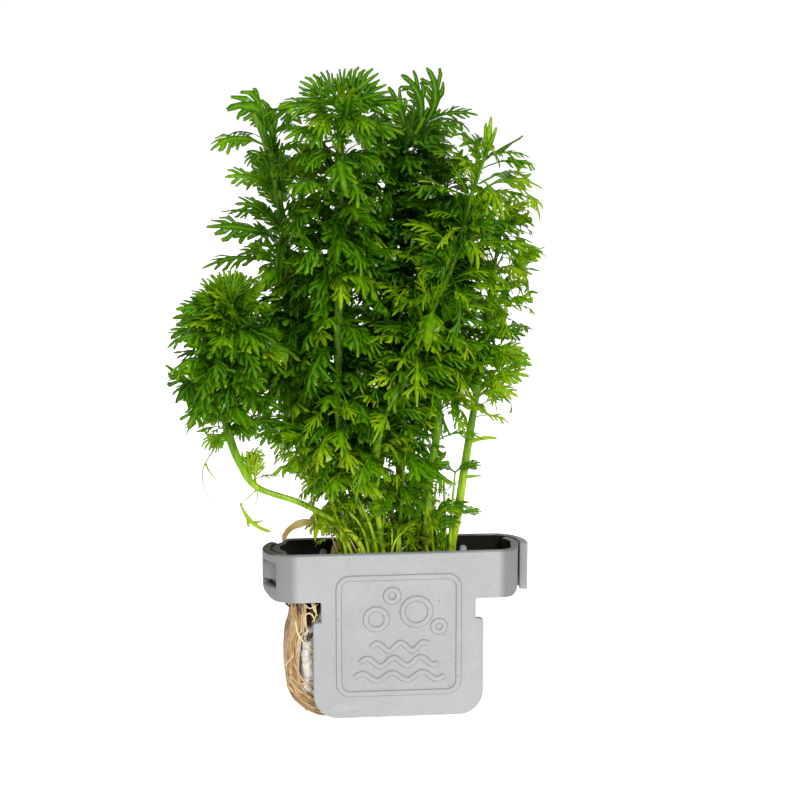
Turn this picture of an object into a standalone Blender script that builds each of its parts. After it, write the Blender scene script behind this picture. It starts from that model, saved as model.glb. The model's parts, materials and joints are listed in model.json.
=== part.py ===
"""A potted dwarf ambulia: leafy stems in a piece of white wool, held by a plastic holder made of two halves."""

import math

import bmesh
import bpy
from mathutils import Matrix, Vector

# Lengths are in metres. X runs along the holder, -Y is its front, +Z is up, and z = 0 is the surface
# that the holder's panels and the roots stand on.
MM = 0.001
CLEARANCE = 0.3 * MM  # gap kept between pieces that touch
WELD = 0.001 * MM  # points nearer than this are one
CUT_MARGIN = 2.0 * MM  # how far a cutter reaches past what it cuts

# The holder
RIM_HEIGHT = 40.5 * MM
COLLAR_BOTTOM = 29.0 * MM
END_CENTRE_X = 23.7 * MM  # centre of the collar's round ends
OUTER_RADIUS = 8.2 * MM  # outside of the collar, and half its depth
WALL = 2.0 * MM
TUCKED_RADIUS = OUTER_RADIUS - WALL - CLEARANCE  # outside of the end that goes inside the other half
NECK_HALF_WIDTH = 18.45 * MM
NECK_BOTTOM = 24.0 * MM
PANEL_HALF_WIDTH = 20.35 * MM
PANEL_CORNER_RADIUS = 6.0 * MM
SHOULDER_RADIUS = 0.8 * MM
PEG_RADIUS = 0.9 * MM
PEG_LENGTH = 2.0 * MM  # half of it is inside the wall
PEG_X = 17.0 * MM
PEG_Z = 37.3 * MM
WINDOW_BOTTOM = 32.4 * MM
WINDOW_TOP = 38.4 * MM
CATCH_BOTTOM = 33.6 * MM
CATCH_TOP = 38.0 * MM
CATCH_FALL = 1.4 * MM  # how much lower the wedge is at its far end
STEP_DEGREES = 9.0  # facet angle of the round stretches
SHOULDER_STEP_DEGREES = 30.0
SHARP_DEGREES = 32.0  # edges sharper than this stay sharp when the holder is shaded smooth

# Angles are in degrees about a round end's centre, on a half that faces -Y and has its hook at -X.
# hook_end is where the hook stops. The window is cut in the hook. The tucked end goes inward
# between joggle_start and joggle_end, carries the catch, and stops at tucked_end.
FRONT_HALF = {
    "hook_end": 135.0, "window": (186.0, 229.0), "hook_corner": 4.0 * MM,
    "joggle": (-72.0, -18.0), "catch": (26.0, 50.0), "tucked_end": 55.0,
}
REAR_HALF = {
    "hook_end": 166.0, "window": (203.0, 233.0), "hook_corner": 0.4 * MM,
    "joggle": (-76.0, -52.0), "catch": (9.0, 46.0), "tucked_end": 51.0,
}
TUCKED_CORNER = 3.4 * MM

# The wool and the roots
WOOL_LEFT = -23.2 * MM
WOOL_RIGHT = 16.5 * MM
WOOL_TOP = 30.2 * MM
WOOL_CORNER = 6.2 * MM
ROOT_LEFT = -27.2 * MM
ROOT_RIGHT = 12.0 * MM
ROOT_TOP = 28.6 * MM
ROOT_CORNER = 9.0 * MM
ROOT_FLOOR_THICKNESS = 3.0 * MM
FILLING_HALF_DEPTH = OUTER_RADIUS - WALL - CLEARANCE

# Each stem's radius, the points it grows through, and its leaves as (height, reach from the stem), all
# in millimetres. The order is that in which the leaves take the room between the stems.
STEMS = {
    "left_runner": {
        "radius": 0.95,
        "route": [(-7.5, -4, 30.5), (-8.5, -4, 41), (-14.5, -4, 47.5), (-23, -4, 52.5), (-33, -4, 56.5),
                  (-37, -4, 62.5), (-39.8, -3.5, 71), (-39.8, -3, 79), (-39.3, -5.5, 88), (-38.5, -9, 96),
                  (-38.5, -12, 101.5)],
        "leaves": [(66, 5), (75, 10), (85, 14), (95, 16.5), (103, 14.5), (110, 6)],
    },
    "front": {
        "radius": 1.0,
        "route": [(-5, -2, 30.5), (-6, -2.5, 41), (-9.5, -3.5, 53), (-12.5, -5, 64), (-14, -6, 74),
                  (-14, -7.5, 92), (-13.5, -8.5, 113), (-13.4, -9, 129), (-13.2, -9, 147)],
        "leaves": [(60, 4), (68, 9), (85, 12), (103, 13), (122, 13.5), (138, 13.5), (147, 10.5), (153, 4)],
    },
    "right_lean": {
        "radius": 1.0,
        "route": [(-2, -3, 30.5), (-3.5, -3.5, 41), (-5, -4.5, 53), (-5.2, -5.5, 64), (-3, -6.5, 74),
                  (1.6, -7, 82.5), (7.3, -8, 97), (13.2, -8, 111), (16.6, -8, 124.5), (20, -8.5, 135)],
        "leaves": [(78, 5), (88, 10), (101, 13), (115, 15), (127, 16), (136, 12), (142, 4)],
    },
    "middle": {
        "radius": 0.9,
        "route": [(6.5, -2, 30.5), (7, -2, 41), (7.5, -2, 50), (8, -2, 58), (9.5, -1.5, 66.5), (10, 0, 78),
                  (9, 1, 92), (8, 2, 106), (9, 3, 119), (11, 3, 128)],
        "leaves": [(66, 5), (78, 8), (100, 9), (120, 9), (131, 4)],
    },
    "upper_left": {
        "radius": 0.9,
        "route": [(-11, 3, 30.5), (-11, 3, 40), (-14.3, 4, 51), (-19.5, 6, 68), (-23, 7, 85), (-25, 8, 101),
                  (-25.5, 8.5, 115.5), (-27, 8.5, 124), (-27.6, 8.5, 131), (-30, 8.5, 138),
                  (-32.5, 8.5, 143)],
        "leaves": [(82, 6), (98, 13), (115, 17), (130, 15), (140, 11), (148, 4)],
    },
    "top_right": {
        "radius": 0.9,
        "route": [(1.5, 3, 30.5), (1.7, 3, 40), (1.4, 4, 55), (0, 6, 75), (-1.5, 8, 98.5), (-1.3, 9, 117.5),
                  (0.5, 9, 128), (3, 9, 134), (6, 9, 138.5), (7.5, 9, 141.5)],
        "leaves": [(88, 6), (100, 9), (118, 10.5), (130, 11), (141, 10.5), (150, 4)],
    },
    "lower_right": {
        "radius": 1.2,
        "route": [(13, 1, 30.5), (13.7, 1, 40), (15, 1, 47), (16.5, 1, 58), (18, 1, 68), (20.4, 1, 83.5),
                  (22, 1, 97), (24, 1, 111), (26, 1, 120)],
        "leaves": [(58, 4), (68, 8), (84, 10.5), (100, 11), (114, 9.5), (125, 4)],
    },
    "low_centre": {
        "radius": 0.7,
        "route": [(0.5, -4, 30.5), (0.5, -4, 41), (0.8, -4.5, 49), (1.2, -5.5, 58), (1.8, -6, 66)],
        "leaves": [(46, 4), (54, 9), (64, 10), (73, 5)],
    },
    "low_left": {
        "radius": 0.7,
        "route": [(-9, -1, 30.5), (-9.8, -1, 40), (-12.5, -1, 50), (-15.7, -1, 57), (-18.5, -1, 64.5),
                  (-21, -1, 73)],
        "leaves": [(51, 3), (58, 7), (68, 9), (78, 4)],
    },
    "back_centre": {
        "radius": 0.9,
        "route": [(-7, 1.5, 30.5), (-8, 1.5, 40), (-10.3, 2, 53.5), (-14.2, 2.5, 68), (-18, 2.5, 83),
                  (-21, 2, 100), (-22, 1, 114), (-22, 1, 125.5), (-21, 1, 133)],
        "leaves": [(72, 5), (85, 9), (105, 10), (124, 9), (137, 4)],
    },
}
STEM_SPACING = 7.0 * MM  # distance between the points of a stem's curve
STEM_TIP_TAPER = 0.6  # a stem's radius at its tip, as a share of that at its foot
STEM_ROOM_GAP = 0.42 * MM  # wider than the clearance, because a tube's flat sides lie nearer its axis
STEM_ROOM_END = 1.0 * MM  # how far the room for a stem reaches past its tip
STEM_ROUNDNESS = 1
LEAF_MASS_ROUNDNESS = 2

PLASTIC = ("holder_grey_plastic", (0.56, 0.57, 0.59), 0.5)
WOOL = ("white_wool", (0.85, 0.86, 0.84), 0.95)
ROOTS = ("tan_roots", (0.42, 0.27, 0.12), 0.8)
STEM_GREEN = ("stem_green", (0.13, 0.30, 0.03), 0.4)
LEAF_GREEN = ("leaf_green", (0.05, 0.20, 0.01), 0.4)


def clear_scene():
    for obj in list(bpy.data.objects):
        bpy.data.objects.remove(obj, do_unlink=True)


def new_collection(name):
    group = bpy.data.collections.new(name)
    bpy.context.scene.collection.children.link(group)
    return group


def material(finish):
    name, colour, roughness = finish
    made = bpy.data.materials.get(name)
    if made is None:
        made = bpy.data.materials.new(name)
        made.use_nodes = True
        shader = made.node_tree.nodes["Principled BSDF"]
        shader.inputs["Base Color"].default_value = (*colour, 1.0)
        shader.inputs["Roughness"].default_value = roughness
        shader.inputs["Metallic"].default_value = 0.0
    return made


def evaluated_mesh(obj):
    """The object's mesh with its modifiers applied and its loose caps welded, in world space."""
    graph = bpy.context.evaluated_depsgraph_get()
    mesh = bpy.data.meshes.new_from_object(obj.evaluated_get(graph))
    mesh.transform(obj.matrix_world)
    shape = bmesh.new()
    shape.from_mesh(mesh)
    bmesh.ops.remove_doubles(shape, verts=shape.verts, dist=WELD)
    bmesh.ops.recalc_face_normals(shape, faces=shape.faces)
    shape.to_mesh(mesh)
    shape.free()
    return mesh


def mesh_from_curve(name, curve, group):
    """A mesh object in place of a curve, so that it can be cut and can cut."""
    guide = bpy.data.objects.new(name + "_curve", curve)
    group.objects.link(guide)
    bpy.context.view_layer.update()
    made = bpy.data.objects.new(name, evaluated_mesh(guide))
    bpy.data.objects.remove(guide, do_unlink=True)
    bpy.data.curves.remove(curve)
    group.objects.link(made)
    return made


def add_poly_spline(curve, points, radii=None):
    spline = curve.splines.new("POLY")
    spline.points.add(len(points) - 1)
    for index, place in enumerate(points):
        spline.points[index].co = (*place, 1.0)
        spline.points[index].radius = radii[index] if radii else 1.0
    return spline


def outline_plate(name, points, thickness, group):
    """A flat outline in the XY plane, as thick as asked and centred on z = 0."""
    curve = bpy.data.curves.new(name, "CURVE")
    curve.dimensions = "2D"
    curve.fill_mode = "BOTH"
    curve.extrude = thickness / 2
    add_poly_spline(curve, [(x, y, 0.0) for x, y in points]).use_cyclic_u = True
    return mesh_from_curve(name, curve, group)


def tube(name, points, radii, bevel_resolution, group):
    curve = bpy.data.curves.new(name, "CURVE")
    curve.dimensions = "3D"
    curve.use_fill_caps = True
    curve.bevel_depth = 1.0
    curve.bevel_resolution = bevel_resolution
    add_poly_spline(curve, points, radii)
    return mesh_from_curve(name, curve, group)


def mark_cutter(obj):
    obj.hide_render = True
    obj.display_type = "WIRE"
    return obj


def boolean(obj, other, operation):
    step = obj.modifiers.new(other.name, "BOOLEAN")
    step.operation = operation
    step.solver = "EXACT"
    step.object = other


def apply_booleans(obj):
    mesh = evaluated_mesh(obj)
    obj.modifiers.clear()
    obj.data = mesh


def arc(centre, radius, start, end, step=STEP_DEGREES):
    """Points of an arc in a plane, both ends included. Angles are in degrees."""
    count = max(1, math.ceil(abs(end - start) / step))
    found = []
    for index in range(count + 1):
        angle = math.radians(start + (end - start) * index / count)
        found.append((centre[0] + radius * math.cos(angle), centre[1] + radius * math.sin(angle)))
    return found


def eased(value):
    value = min(1.0, max(0.0, value))
    return value * value * (3 - 2 * value)


def tucked_arc(joggle, end, inset):
    """The collar's wall round the +X end, which moves inward between the two joggle angles."""
    count = math.ceil((end + 90.0) / STEP_DEGREES)
    found = []
    for index in range(count + 1):
        degrees = -90.0 + (end + 90.0) * index / count
        share = eased((degrees - joggle[0]) / (joggle[1] - joggle[0]))
        radius = OUTER_RADIUS + (TUCKED_RADIUS - OUTER_RADIUS) * share - inset
        angle = math.radians(degrees)
        found.append((END_CENTRE_X + radius * math.cos(angle), radius * math.sin(angle)))
    return found


def wall_outline(half):
    """The collar wall of one half seen from above, closed: its outer face, then its inner face back."""
    faces = []
    for inset in (0.0, WALL):
        hook = arc((-END_CENTRE_X, 0.0), OUTER_RADIUS - inset, half["hook_end"], 270.0)
        faces.append(hook + tucked_arc(half["joggle"], half["tucked_end"], inset))
    return faces[0] + faces[1][::-1]


def front_view_outline(half):
    """The half seen from the front, as (x, z): collar with rounded lower corners, neck and panel."""
    hook_x = -END_CENTRE_X - OUTER_RADIUS - CLEARANCE
    tucked_x = END_CENTRE_X + TUCKED_RADIUS + CLEARANCE
    above = RIM_HEIGHT + CUT_MARGIN
    radius = half["hook_corner"]
    points = [(hook_x, above)]
    points += arc((hook_x + radius, COLLAR_BOTTOM + radius), radius, 180, 270)
    points += [(-NECK_HALF_WIDTH, COLLAR_BOTTOM), (-NECK_HALF_WIDTH, NECK_BOTTOM)]
    shoulder = NECK_BOTTOM - SHOULDER_RADIUS
    shoulder_x = PANEL_HALF_WIDTH - SHOULDER_RADIUS
    points += arc((-shoulder_x, shoulder), SHOULDER_RADIUS, 90, 180, SHOULDER_STEP_DEGREES)
    corner_x = PANEL_HALF_WIDTH - PANEL_CORNER_RADIUS
    points += arc((-corner_x, PANEL_CORNER_RADIUS), PANEL_CORNER_RADIUS, 180, 270)
    points += arc((corner_x, PANEL_CORNER_RADIUS), PANEL_CORNER_RADIUS, 270, 360)
    points += arc((shoulder_x, shoulder), SHOULDER_RADIUS, 0, 90, SHOULDER_STEP_DEGREES)
    points += [(NECK_HALF_WIDTH, NECK_BOTTOM), (NECK_HALF_WIDTH, COLLAR_BOTTOM)]
    points += arc((tucked_x - TUCKED_CORNER, COLLAR_BOTTOM + TUCKED_CORNER), TUCKED_CORNER, 270, 360)
    points += [(tucked_x, above)]
    return points


def sector(name, centre_x, angles, radii, heights, group):
    """A block between two angles, two radii and two heights, about a round end's centre."""
    points = [(centre_x + radius * math.cos(math.radians(angle)), radius * math.sin(math.radians(angle)))
              for angle, radius in zip(angles, radii)]
    block = outline_plate(name, points, heights[1] - heights[0], group)
    block.location.z = (heights[0] + heights[1]) / 2
    return mark_cutter(block)


def window_cutter(name, half, group):
    first, last = half["window"]
    inside = OUTER_RADIUS - WALL - CUT_MARGIN
    outside = OUTER_RADIUS + CUT_MARGIN
    return sector(name, -END_CENTRE_X, (first, first, last, last), (inside, outside, outside, inside),
                  (WINDOW_BOTTOM, WINDOW_TOP), group)


def catch_block(name, half, group):
    """The wedge on the tucked end: it stands highest where the other half's window starts."""
    first, last = half["catch"]
    root = TUCKED_RADIUS - WALL / 2
    return sector(name, END_CENTRE_X, (first, first, last, last),
                  (root, OUTER_RADIUS, OUTER_RADIUS - CATCH_FALL, root), (CATCH_BOTTOM, CATCH_TOP), group)


def peg(name, x, group):
    """A small round peg on the inner face, just under the rim."""
    bpy.ops.mesh.primitive_cylinder_add(vertices=12, radius=PEG_RADIUS, depth=PEG_LENGTH,
                                        location=(x, -OUTER_RADIUS + WALL, PEG_Z),
                                        rotation=(math.radians(90), 0, 0))
    made = bpy.context.object
    made.name = name
    for owner in list(made.users_collection):
        owner.objects.unlink(made)
    group.objects.link(made)
    return mark_cutter(made)


def holder_half(name, half, turn, parts, cutters):
    height = RIM_HEIGHT + CUT_MARGIN
    made = outline_plate(name, wall_outline(half), height, parts)
    made.location.z = RIM_HEIGHT - height / 2
    view_depth = 2 * (OUTER_RADIUS + CUT_MARGIN)
    view = outline_plate(name + "_front_view", front_view_outline(half), view_depth, cutters)
    view.rotation_euler.x = math.radians(90)
    boolean(made, mark_cutter(view), "INTERSECT")
    boolean(made, window_cutter(name + "_window", half, cutters), "DIFFERENCE")
    boolean(made, catch_block(name + "_catch", half, cutters), "UNION")
    for side in (-1, 1):
        boolean(made, peg(f"{name}_peg_{side}", side * PEG_X, cutters), "UNION")
    bpy.context.view_layer.update()
    apply_booleans(made)
    made.location.z = 0.0
    made.data.transform(Matrix.Rotation(math.radians(turn), 4, "Z"))
    made.data.materials.append(material(PLASTIC))
    made.data.shade_smooth()
    made.data.set_sharp_from_angle(angle=math.radians(SHARP_DEGREES))
    return made


def standing_plate(name, outline, depth, finish, parts):
    """An outline given as (x, z), stood upright and centred on the XZ plane."""
    made = outline_plate(name, outline, depth, parts)
    made.rotation_euler.x = math.radians(90)
    made.data.materials.append(material(finish))
    return made


def wool_plug(parts):
    bottom = ROOT_FLOOR_THICKNESS + CLEARANCE
    outline = [(WOOL_LEFT, WOOL_TOP)]
    outline += arc((WOOL_LEFT + WOOL_CORNER, bottom + WOOL_CORNER), WOOL_CORNER, 180, 270)
    outline += [(WOOL_RIGHT, bottom), (WOOL_RIGHT, WOOL_TOP)]
    return standing_plate("wool_plug", outline, 2 * FILLING_HALF_DEPTH, WOOL, parts)


def root_mass(parts):
    """The roots lie down the wool's left side and under it, down to the surface that all stands on."""
    inner_left = WOOL_LEFT - CLEARANCE
    inner_corner = WOOL_CORNER + CLEARANCE
    outline = [(ROOT_LEFT, ROOT_TOP)]
    outline += arc((ROOT_LEFT + ROOT_CORNER, ROOT_CORNER), ROOT_CORNER, 180, 270)
    outline += [(ROOT_RIGHT, 0.0), (ROOT_RIGHT, ROOT_FLOOR_THICKNESS)]
    outline += arc((inner_left + inner_corner, ROOT_FLOOR_THICKNESS + inner_corner), inner_corner, 270, 180)
    outline += [(inner_left, ROOT_TOP)]
    return standing_plate("root_mass", outline, 2 * FILLING_HALF_DEPTH, ROOTS, parts)


def smooth_route(points, spacing):
    """Points along a smooth curve through the given ones, about as far apart as asked."""
    places = [Vector(place) * MM for place in points]
    ends = [2 * places[0] - places[1]] + places + [2 * places[-1] - places[-2]]
    found = [places[0]]
    for index in range(1, len(ends) - 2):
        before, first, second, after = ends[index - 1:index + 3]
        count = max(1, round((second - first).length / spacing))
        for step in range(1, count + 1):
            t = step / count
            found.append(0.5 * (2 * first + (second - before) * t
                                + (2 * before - 5 * first + 4 * second - after) * t ** 2
                                + (3 * first - before - 3 * second + after) * t ** 3))
    return found


def at_height(route, height):
    """The place on a rising route at this height, or above its tip in the tip's direction."""
    for low, high in zip(route, route[1:]):
        if height <= high.z or high is route[-1]:
            return low.lerp(high, (height - low.z) / (high.z - low.z))
    return route[-1]


def stem(name, plan, parts):
    route = smooth_route(plan["route"], STEM_SPACING)
    last = len(route) - 1
    radii = [plan["radius"] * MM * (1 + (STEM_TIP_TAPER - 1) * index / last) for index in range(last + 1)]
    made = tube("stem_" + name, route, radii, STEM_ROUNDNESS, parts)
    made.data.materials.append(material(STEM_GREEN))
    made.data.shade_smooth()
    return made


def stem_room(name, plan, cutters):
    """The room that a stem needs in the leaves round it: its own shape, thicker and longer."""
    route = smooth_route(plan["route"], STEM_SPACING)
    route.append(route[-1] + (route[-1] - route[-2]).normalized() * STEM_ROOM_END)
    radii = [plan["radius"] * MM + STEM_ROOM_GAP] * len(route)
    return mark_cutter(tube("room_of_stem_" + name, route, radii, STEM_ROUNDNESS, cutters))


def leaf_mass(name, plan, extra, group):
    """The shape that a stem's leaves fill together: round the stem, as wide as the leaves reach."""
    route = smooth_route(plan["route"], STEM_SPACING)
    places = [at_height(route, height * MM) for height, reach in plan["leaves"]]
    radii = [reach * MM + extra for height, reach in plan["leaves"]]
    if extra:
        places[0] = places[0] - (places[1] - places[0]).normalized() * extra
        places[-1] = places[-1] + (places[-1] - places[-2]).normalized() * extra
    return tube(name, places, radii, LEAF_MASS_ROUNDNESS, group)


def keep_largest_body(mesh):
    """Small pieces that the cuts leave on their own are dropped."""
    shape = bmesh.new()
    shape.from_mesh(mesh)
    waiting = set(shape.faces)
    bodies = []
    while waiting:
        body = {waiting.pop()}
        edge_of_body = set(body)
        while edge_of_body:
            face = edge_of_body.pop()
            for edge in face.edges:
                for other in edge.link_faces:
                    if other in waiting:
                        waiting.discard(other)
                        body.add(other)
                        edge_of_body.add(other)
        bodies.append(body)
    largest = max(bodies, key=lambda body: sum(face.calc_area() for face in body))
    spare = [face for face in shape.faces if face not in largest]
    bmesh.ops.delete(shape, geom=spare, context="FACES")
    shape.to_mesh(mesh)
    shape.free()


def make_leaves(parts, cutters):
    """One leaf mass for each stem. Each is cut back by those already made, and by all the stems."""
    rooms = [stem_room(name, plan, cutters) for name, plan in STEMS.items()]
    taken = []
    for name, plan in STEMS.items():
        made = leaf_mass("leaves_" + name, plan, 0.0, parts)
        for other in taken + rooms:
            boolean(made, other, "DIFFERENCE")
        bpy.context.view_layer.update()
        apply_booleans(made)
        keep_largest_body(made.data)
        made.data.materials.append(material(LEAF_GREEN))
        taken.append(mark_cutter(leaf_mass("room_of_leaves_" + name, plan, CLEARANCE, cutters)))


def main():
    clear_scene()
    parts = new_collection("potted_dwarf_ambulia")
    cutters = new_collection("cutters")
    holder_half("holder_front_half", FRONT_HALF, 0, parts, cutters)
    holder_half("holder_rear_half", REAR_HALF, 180, parts, cutters)
    wool_plug(parts)
    root_mass(parts)
    for name, plan in STEMS.items():
        stem(name, plan, parts)
    make_leaves(parts, cutters)


main()
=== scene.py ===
import json
import math
import random

import bmesh
import bpy
import numpy as np
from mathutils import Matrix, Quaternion, Vector, noise
from mathutils.bvhtree import BVHTree
from mathutils.kdtree import KDTree

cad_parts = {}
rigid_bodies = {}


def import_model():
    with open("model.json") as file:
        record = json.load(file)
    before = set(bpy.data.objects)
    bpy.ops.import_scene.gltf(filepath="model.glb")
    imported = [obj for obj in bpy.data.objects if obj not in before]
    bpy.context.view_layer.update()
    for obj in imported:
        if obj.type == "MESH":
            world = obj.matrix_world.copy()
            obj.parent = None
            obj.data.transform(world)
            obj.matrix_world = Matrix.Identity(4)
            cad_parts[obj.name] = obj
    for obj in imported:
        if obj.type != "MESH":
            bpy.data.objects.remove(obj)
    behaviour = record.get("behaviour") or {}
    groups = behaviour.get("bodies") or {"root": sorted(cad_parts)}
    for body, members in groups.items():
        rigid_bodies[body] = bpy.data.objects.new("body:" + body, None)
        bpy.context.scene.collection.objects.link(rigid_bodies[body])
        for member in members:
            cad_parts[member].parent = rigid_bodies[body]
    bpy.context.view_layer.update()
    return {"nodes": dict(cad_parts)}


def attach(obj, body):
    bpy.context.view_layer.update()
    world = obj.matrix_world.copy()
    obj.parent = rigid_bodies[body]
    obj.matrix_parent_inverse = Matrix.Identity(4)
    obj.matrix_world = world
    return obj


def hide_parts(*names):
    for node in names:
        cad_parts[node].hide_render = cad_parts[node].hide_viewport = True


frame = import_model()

# A potted dwarf ambulia: whorls of comb-like leaves on ten stems, roots in white wool, and a grey
# plastic holder made of two halves. Sizes are in millimetres and go through mm where a mesh is made.
mm = 0.001


# Shaders: a socket that takes part in sums, and a material that hands such sockets out
class Value:
    def __init__(self, surface, socket):
        self.surface = surface
        self.socket = socket

    def math(self, operation, *others):
        numbers = dict(enumerate((self,) + others))
        return self.surface.node("ShaderNodeMath", {"operation": operation}, numbers)

    def __add__(self, other):
        return self.math("ADD", other)

    __radd__ = __add__

    def __sub__(self, other):
        return self.math("SUBTRACT", other)

    def __rsub__(self, other):
        return (self * -1.0) + other

    def __mul__(self, other):
        return self.math("MULTIPLY", other)

    __rmul__ = __mul__

    def __truediv__(self, other):
        return self.math("DIVIDE", other)

    def __pow__(self, other):
        return self.math("POWER", other)

    def __abs__(self):
        return self.math("ABSOLUTE")

    def clamped(self):
        return self.math("MINIMUM", 1.0).math("MAXIMUM", 0.0)

    def between(self, low, high):
        # 0 at low, 1 at high, with soft ends
        settings = {"interpolation_type": "SMOOTHSTEP"}
        limits = {"Value": self, "From Min": low, "From Max": high}
        if low > high:
            limits = {"Value": self, "From Min": high, "From Max": low, "To Min": 1.0, "To Max": 0.0}
        return self.surface.node("ShaderNodeMapRange", settings, limits)


class Surface:
    def __init__(self, name):
        self.material = bpy.data.materials.new(name)
        self.material.use_nodes = True
        self.tree = self.material.node_tree
        self.principled = self.tree.nodes["Principled BSDF"]

    def node(self, kind, settings, sockets, output=0):
        made = self.tree.nodes.new(kind)
        for name, value in settings.items():
            if name == "stops":
                self.setStops(made.color_ramp, value)
            else:
                setattr(made, name, value)
        for name, value in sockets.items():
            if isinstance(value, Value):
                self.tree.links.new(value.socket, made.inputs[name])
            else:
                made.inputs[name].default_value = value
        return Value(self, made.outputs[output])

    def setStops(self, ramp, stops):
        while len(ramp.elements) < len(stops):
            ramp.elements.new(1.0)
        for element, (place, colour) in zip(ramp.elements, stops):
            element.position = place
            element.color = (*colour, 1.0)

    def place(self, stretch=(1.0, 1.0, 1.0)):
        # the point's own place in the object's frame, in metres
        spot = self.node("ShaderNodeTexCoord", {}, {}, "Object")
        if stretch == (1.0, 1.0, 1.0):
            return spot
        return self.node("ShaderNodeMapping", {}, {"Vector": spot, "Scale": stretch})

    def axes(self, vector):
        split = self.node("ShaderNodeSeparateXYZ", {}, {"Vector": vector})
        outputs = split.socket.node.outputs
        return [Value(self, outputs[index]) for index in range(3)]

    def height(self):
        return self.axes(self.place())[2]

    def leafMap(self):
        # the place across a lobe, and from the leaf's foot to its tips
        return self.axes(self.node("ShaderNodeUVMap", {"uv_map": "leafMap"}, {}))[:2]

    def noise(self, vector, perMetre, detail=2.0, roughness=0.5):
        sockets = {"Vector": vector, "Scale": perMetre, "Detail": detail, "Roughness": roughness}
        return self.node("ShaderNodeTexNoise", {"noise_dimensions": "3D"}, sockets, "Fac")

    def attribute(self, name):
        return self.node("ShaderNodeAttribute", {"attribute_name": name}, {}, "Fac")

    def mix(self, share, first, second):
        colours = {0: share, 6: asColour(first), 7: asColour(second)}
        return self.node("ShaderNodeMix", {"data_type": "RGBA"}, colours, 2)

    def ramp(self, value, stops):
        return self.node("ShaderNodeValToRGB", {"stops": stops}, {"Fac": value}, "Color")

    def bump(self, height, depth, strength=1.0):
        sockets = {"Height": height, "Distance": depth, "Strength": strength}
        return self.node("ShaderNodeBump", {}, sockets, "Normal")

    def finish(self, linked, constants):
        for name, value in linked.items():
            self.tree.links.new(value.socket, self.principled.inputs[name])
        for name, value in constants.items():
            self.principled.inputs[name].default_value = value
        return self.material

    def letThrough(self, colour, share):
        # part of the light goes through the sheet
        through = self.node("ShaderNodeBsdfTranslucent", {}, {"Color": colour})
        both = self.tree.nodes.new("ShaderNodeMixShader")
        both.inputs[0].default_value = share
        self.tree.links.new(self.principled.outputs[0], both.inputs[1])
        self.tree.links.new(through.socket, both.inputs[2])
        self.tree.links.new(both.outputs[0], self.tree.nodes["Material Output"].inputs["Surface"])


def asColour(value):
    return value if isinstance(value, Value) else (*value, 1.0)


def inMetres(span):
    return [value * mm for value in span]


def leafSurface(name, look):
    surface = Surface(name)
    across, towardsTip = surface.leafMap()
    spot = surface.place()
    patches = surface.noise(spot, look["patchesPerMetre"], detail=3.0, roughness=0.6)
    low = surface.height().between(*inMetres(look["paleHeights"]))
    level = surface.attribute("tone") + (patches - 0.5) * look["patchDepth"]
    # painted highlight: the level rises towards the fingers' tips and falls towards the foot
    level = level + (towardsTip - 0.5) * look["tipHighlight"] + low * look["lowLift"]
    colour = surface.ramp(level.clamped(), look["colours"])
    fromMiddle = abs(across - 0.5) * 2.0
    # a lighter line along each lobe's middle: partly a vein, partly painted highlight along the finger
    veinAndHighlight = fromMiddle.between(*look["veinRange"]) * look["veinAndHighlight"]
    colour = surface.mix(veinAndHighlight, colour, look["veinAndHighlightColour"])
    # painted shade: darker along each lobe's edges, for the shade between the fingers
    edge = fromMiddle.between(*look["edgeRange"]) * look["edgeShade"]
    colour = surface.mix(edge, colour, look["edgeShadeColour"])
    # pale tips: partly faded tips, partly painted highlight on the wet tips
    fadedAndHighlight = surface.noise(spot, look["fadedPerMetre"], detail=1.0).between(*look["fadedRange"])
    fadedAndHighlight = towardsTip.between(*look["tipRange"]) * fadedAndHighlight
    colour = surface.mix(fadedAndHighlight * look["fadedAndHighlightTips"], colour, look["fadedAndHighlightColour"])
    crease = fromMiddle ** 2.0 * -1.0 + veinAndHighlight * -0.5
    height = crease + surface.noise(spot, look["grainPerMetre"]) * look["grain"]
    surface.finish(
        {"Base Color": colour, "Roughness": patches * look["roughSpread"] + look["roughness"],
         "Normal": surface.bump(height, look["bump"])},
        look["gloss"],
    )
    surface.letThrough(surface.mix(look["glowShare"], colour, look["glow"]), look["through"])
    return surface.material


leafLook = {
    "colours": [(0.0, (0.004, 0.03, 0.0005)), (0.3, (0.014, 0.092, 0.001)),
                (0.55, (0.054, 0.205, 0.0015)), (0.78, (0.16, 0.37, 0.002)), (1.0, (0.4, 0.57, 0.008))],
    "patchesPerMetre": 520.0, "patchDepth": 0.95, "tipHighlight": 0.24,
    "paleHeights": (84.0, 54.0), "lowLift": 0.24,    # paler from the first height down to the second, mm
    "veinAndHighlight": 0.5, "veinRange": (0.4, 0.05), "veinAndHighlightColour": (0.2, 0.44, 0.008),
    "edgeShade": 0.6, "edgeRange": (0.55, 1.0), "edgeShadeColour": (0.006, 0.042, 0.0004),
    "fadedAndHighlightTips": 0.4, "tipRange": (0.86, 1.0), "fadedPerMetre": 260.0, "fadedRange": (0.5, 0.68),
    "fadedAndHighlightColour": (0.42, 0.46, 0.05),
    "grainPerMetre": 2600.0, "grain": 0.25, "bump": 0.0003, "roughness": 0.22, "roughSpread": 0.22,
    "gloss": {"Coat Weight": 0.16, "Coat Roughness": 0.1, "Specular IOR Level": 0.25, "IOR": 1.2},
    "through": 0.32, "glow": (0.22, 0.5, 0.006), "glowShare": 0.55,
}


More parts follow.
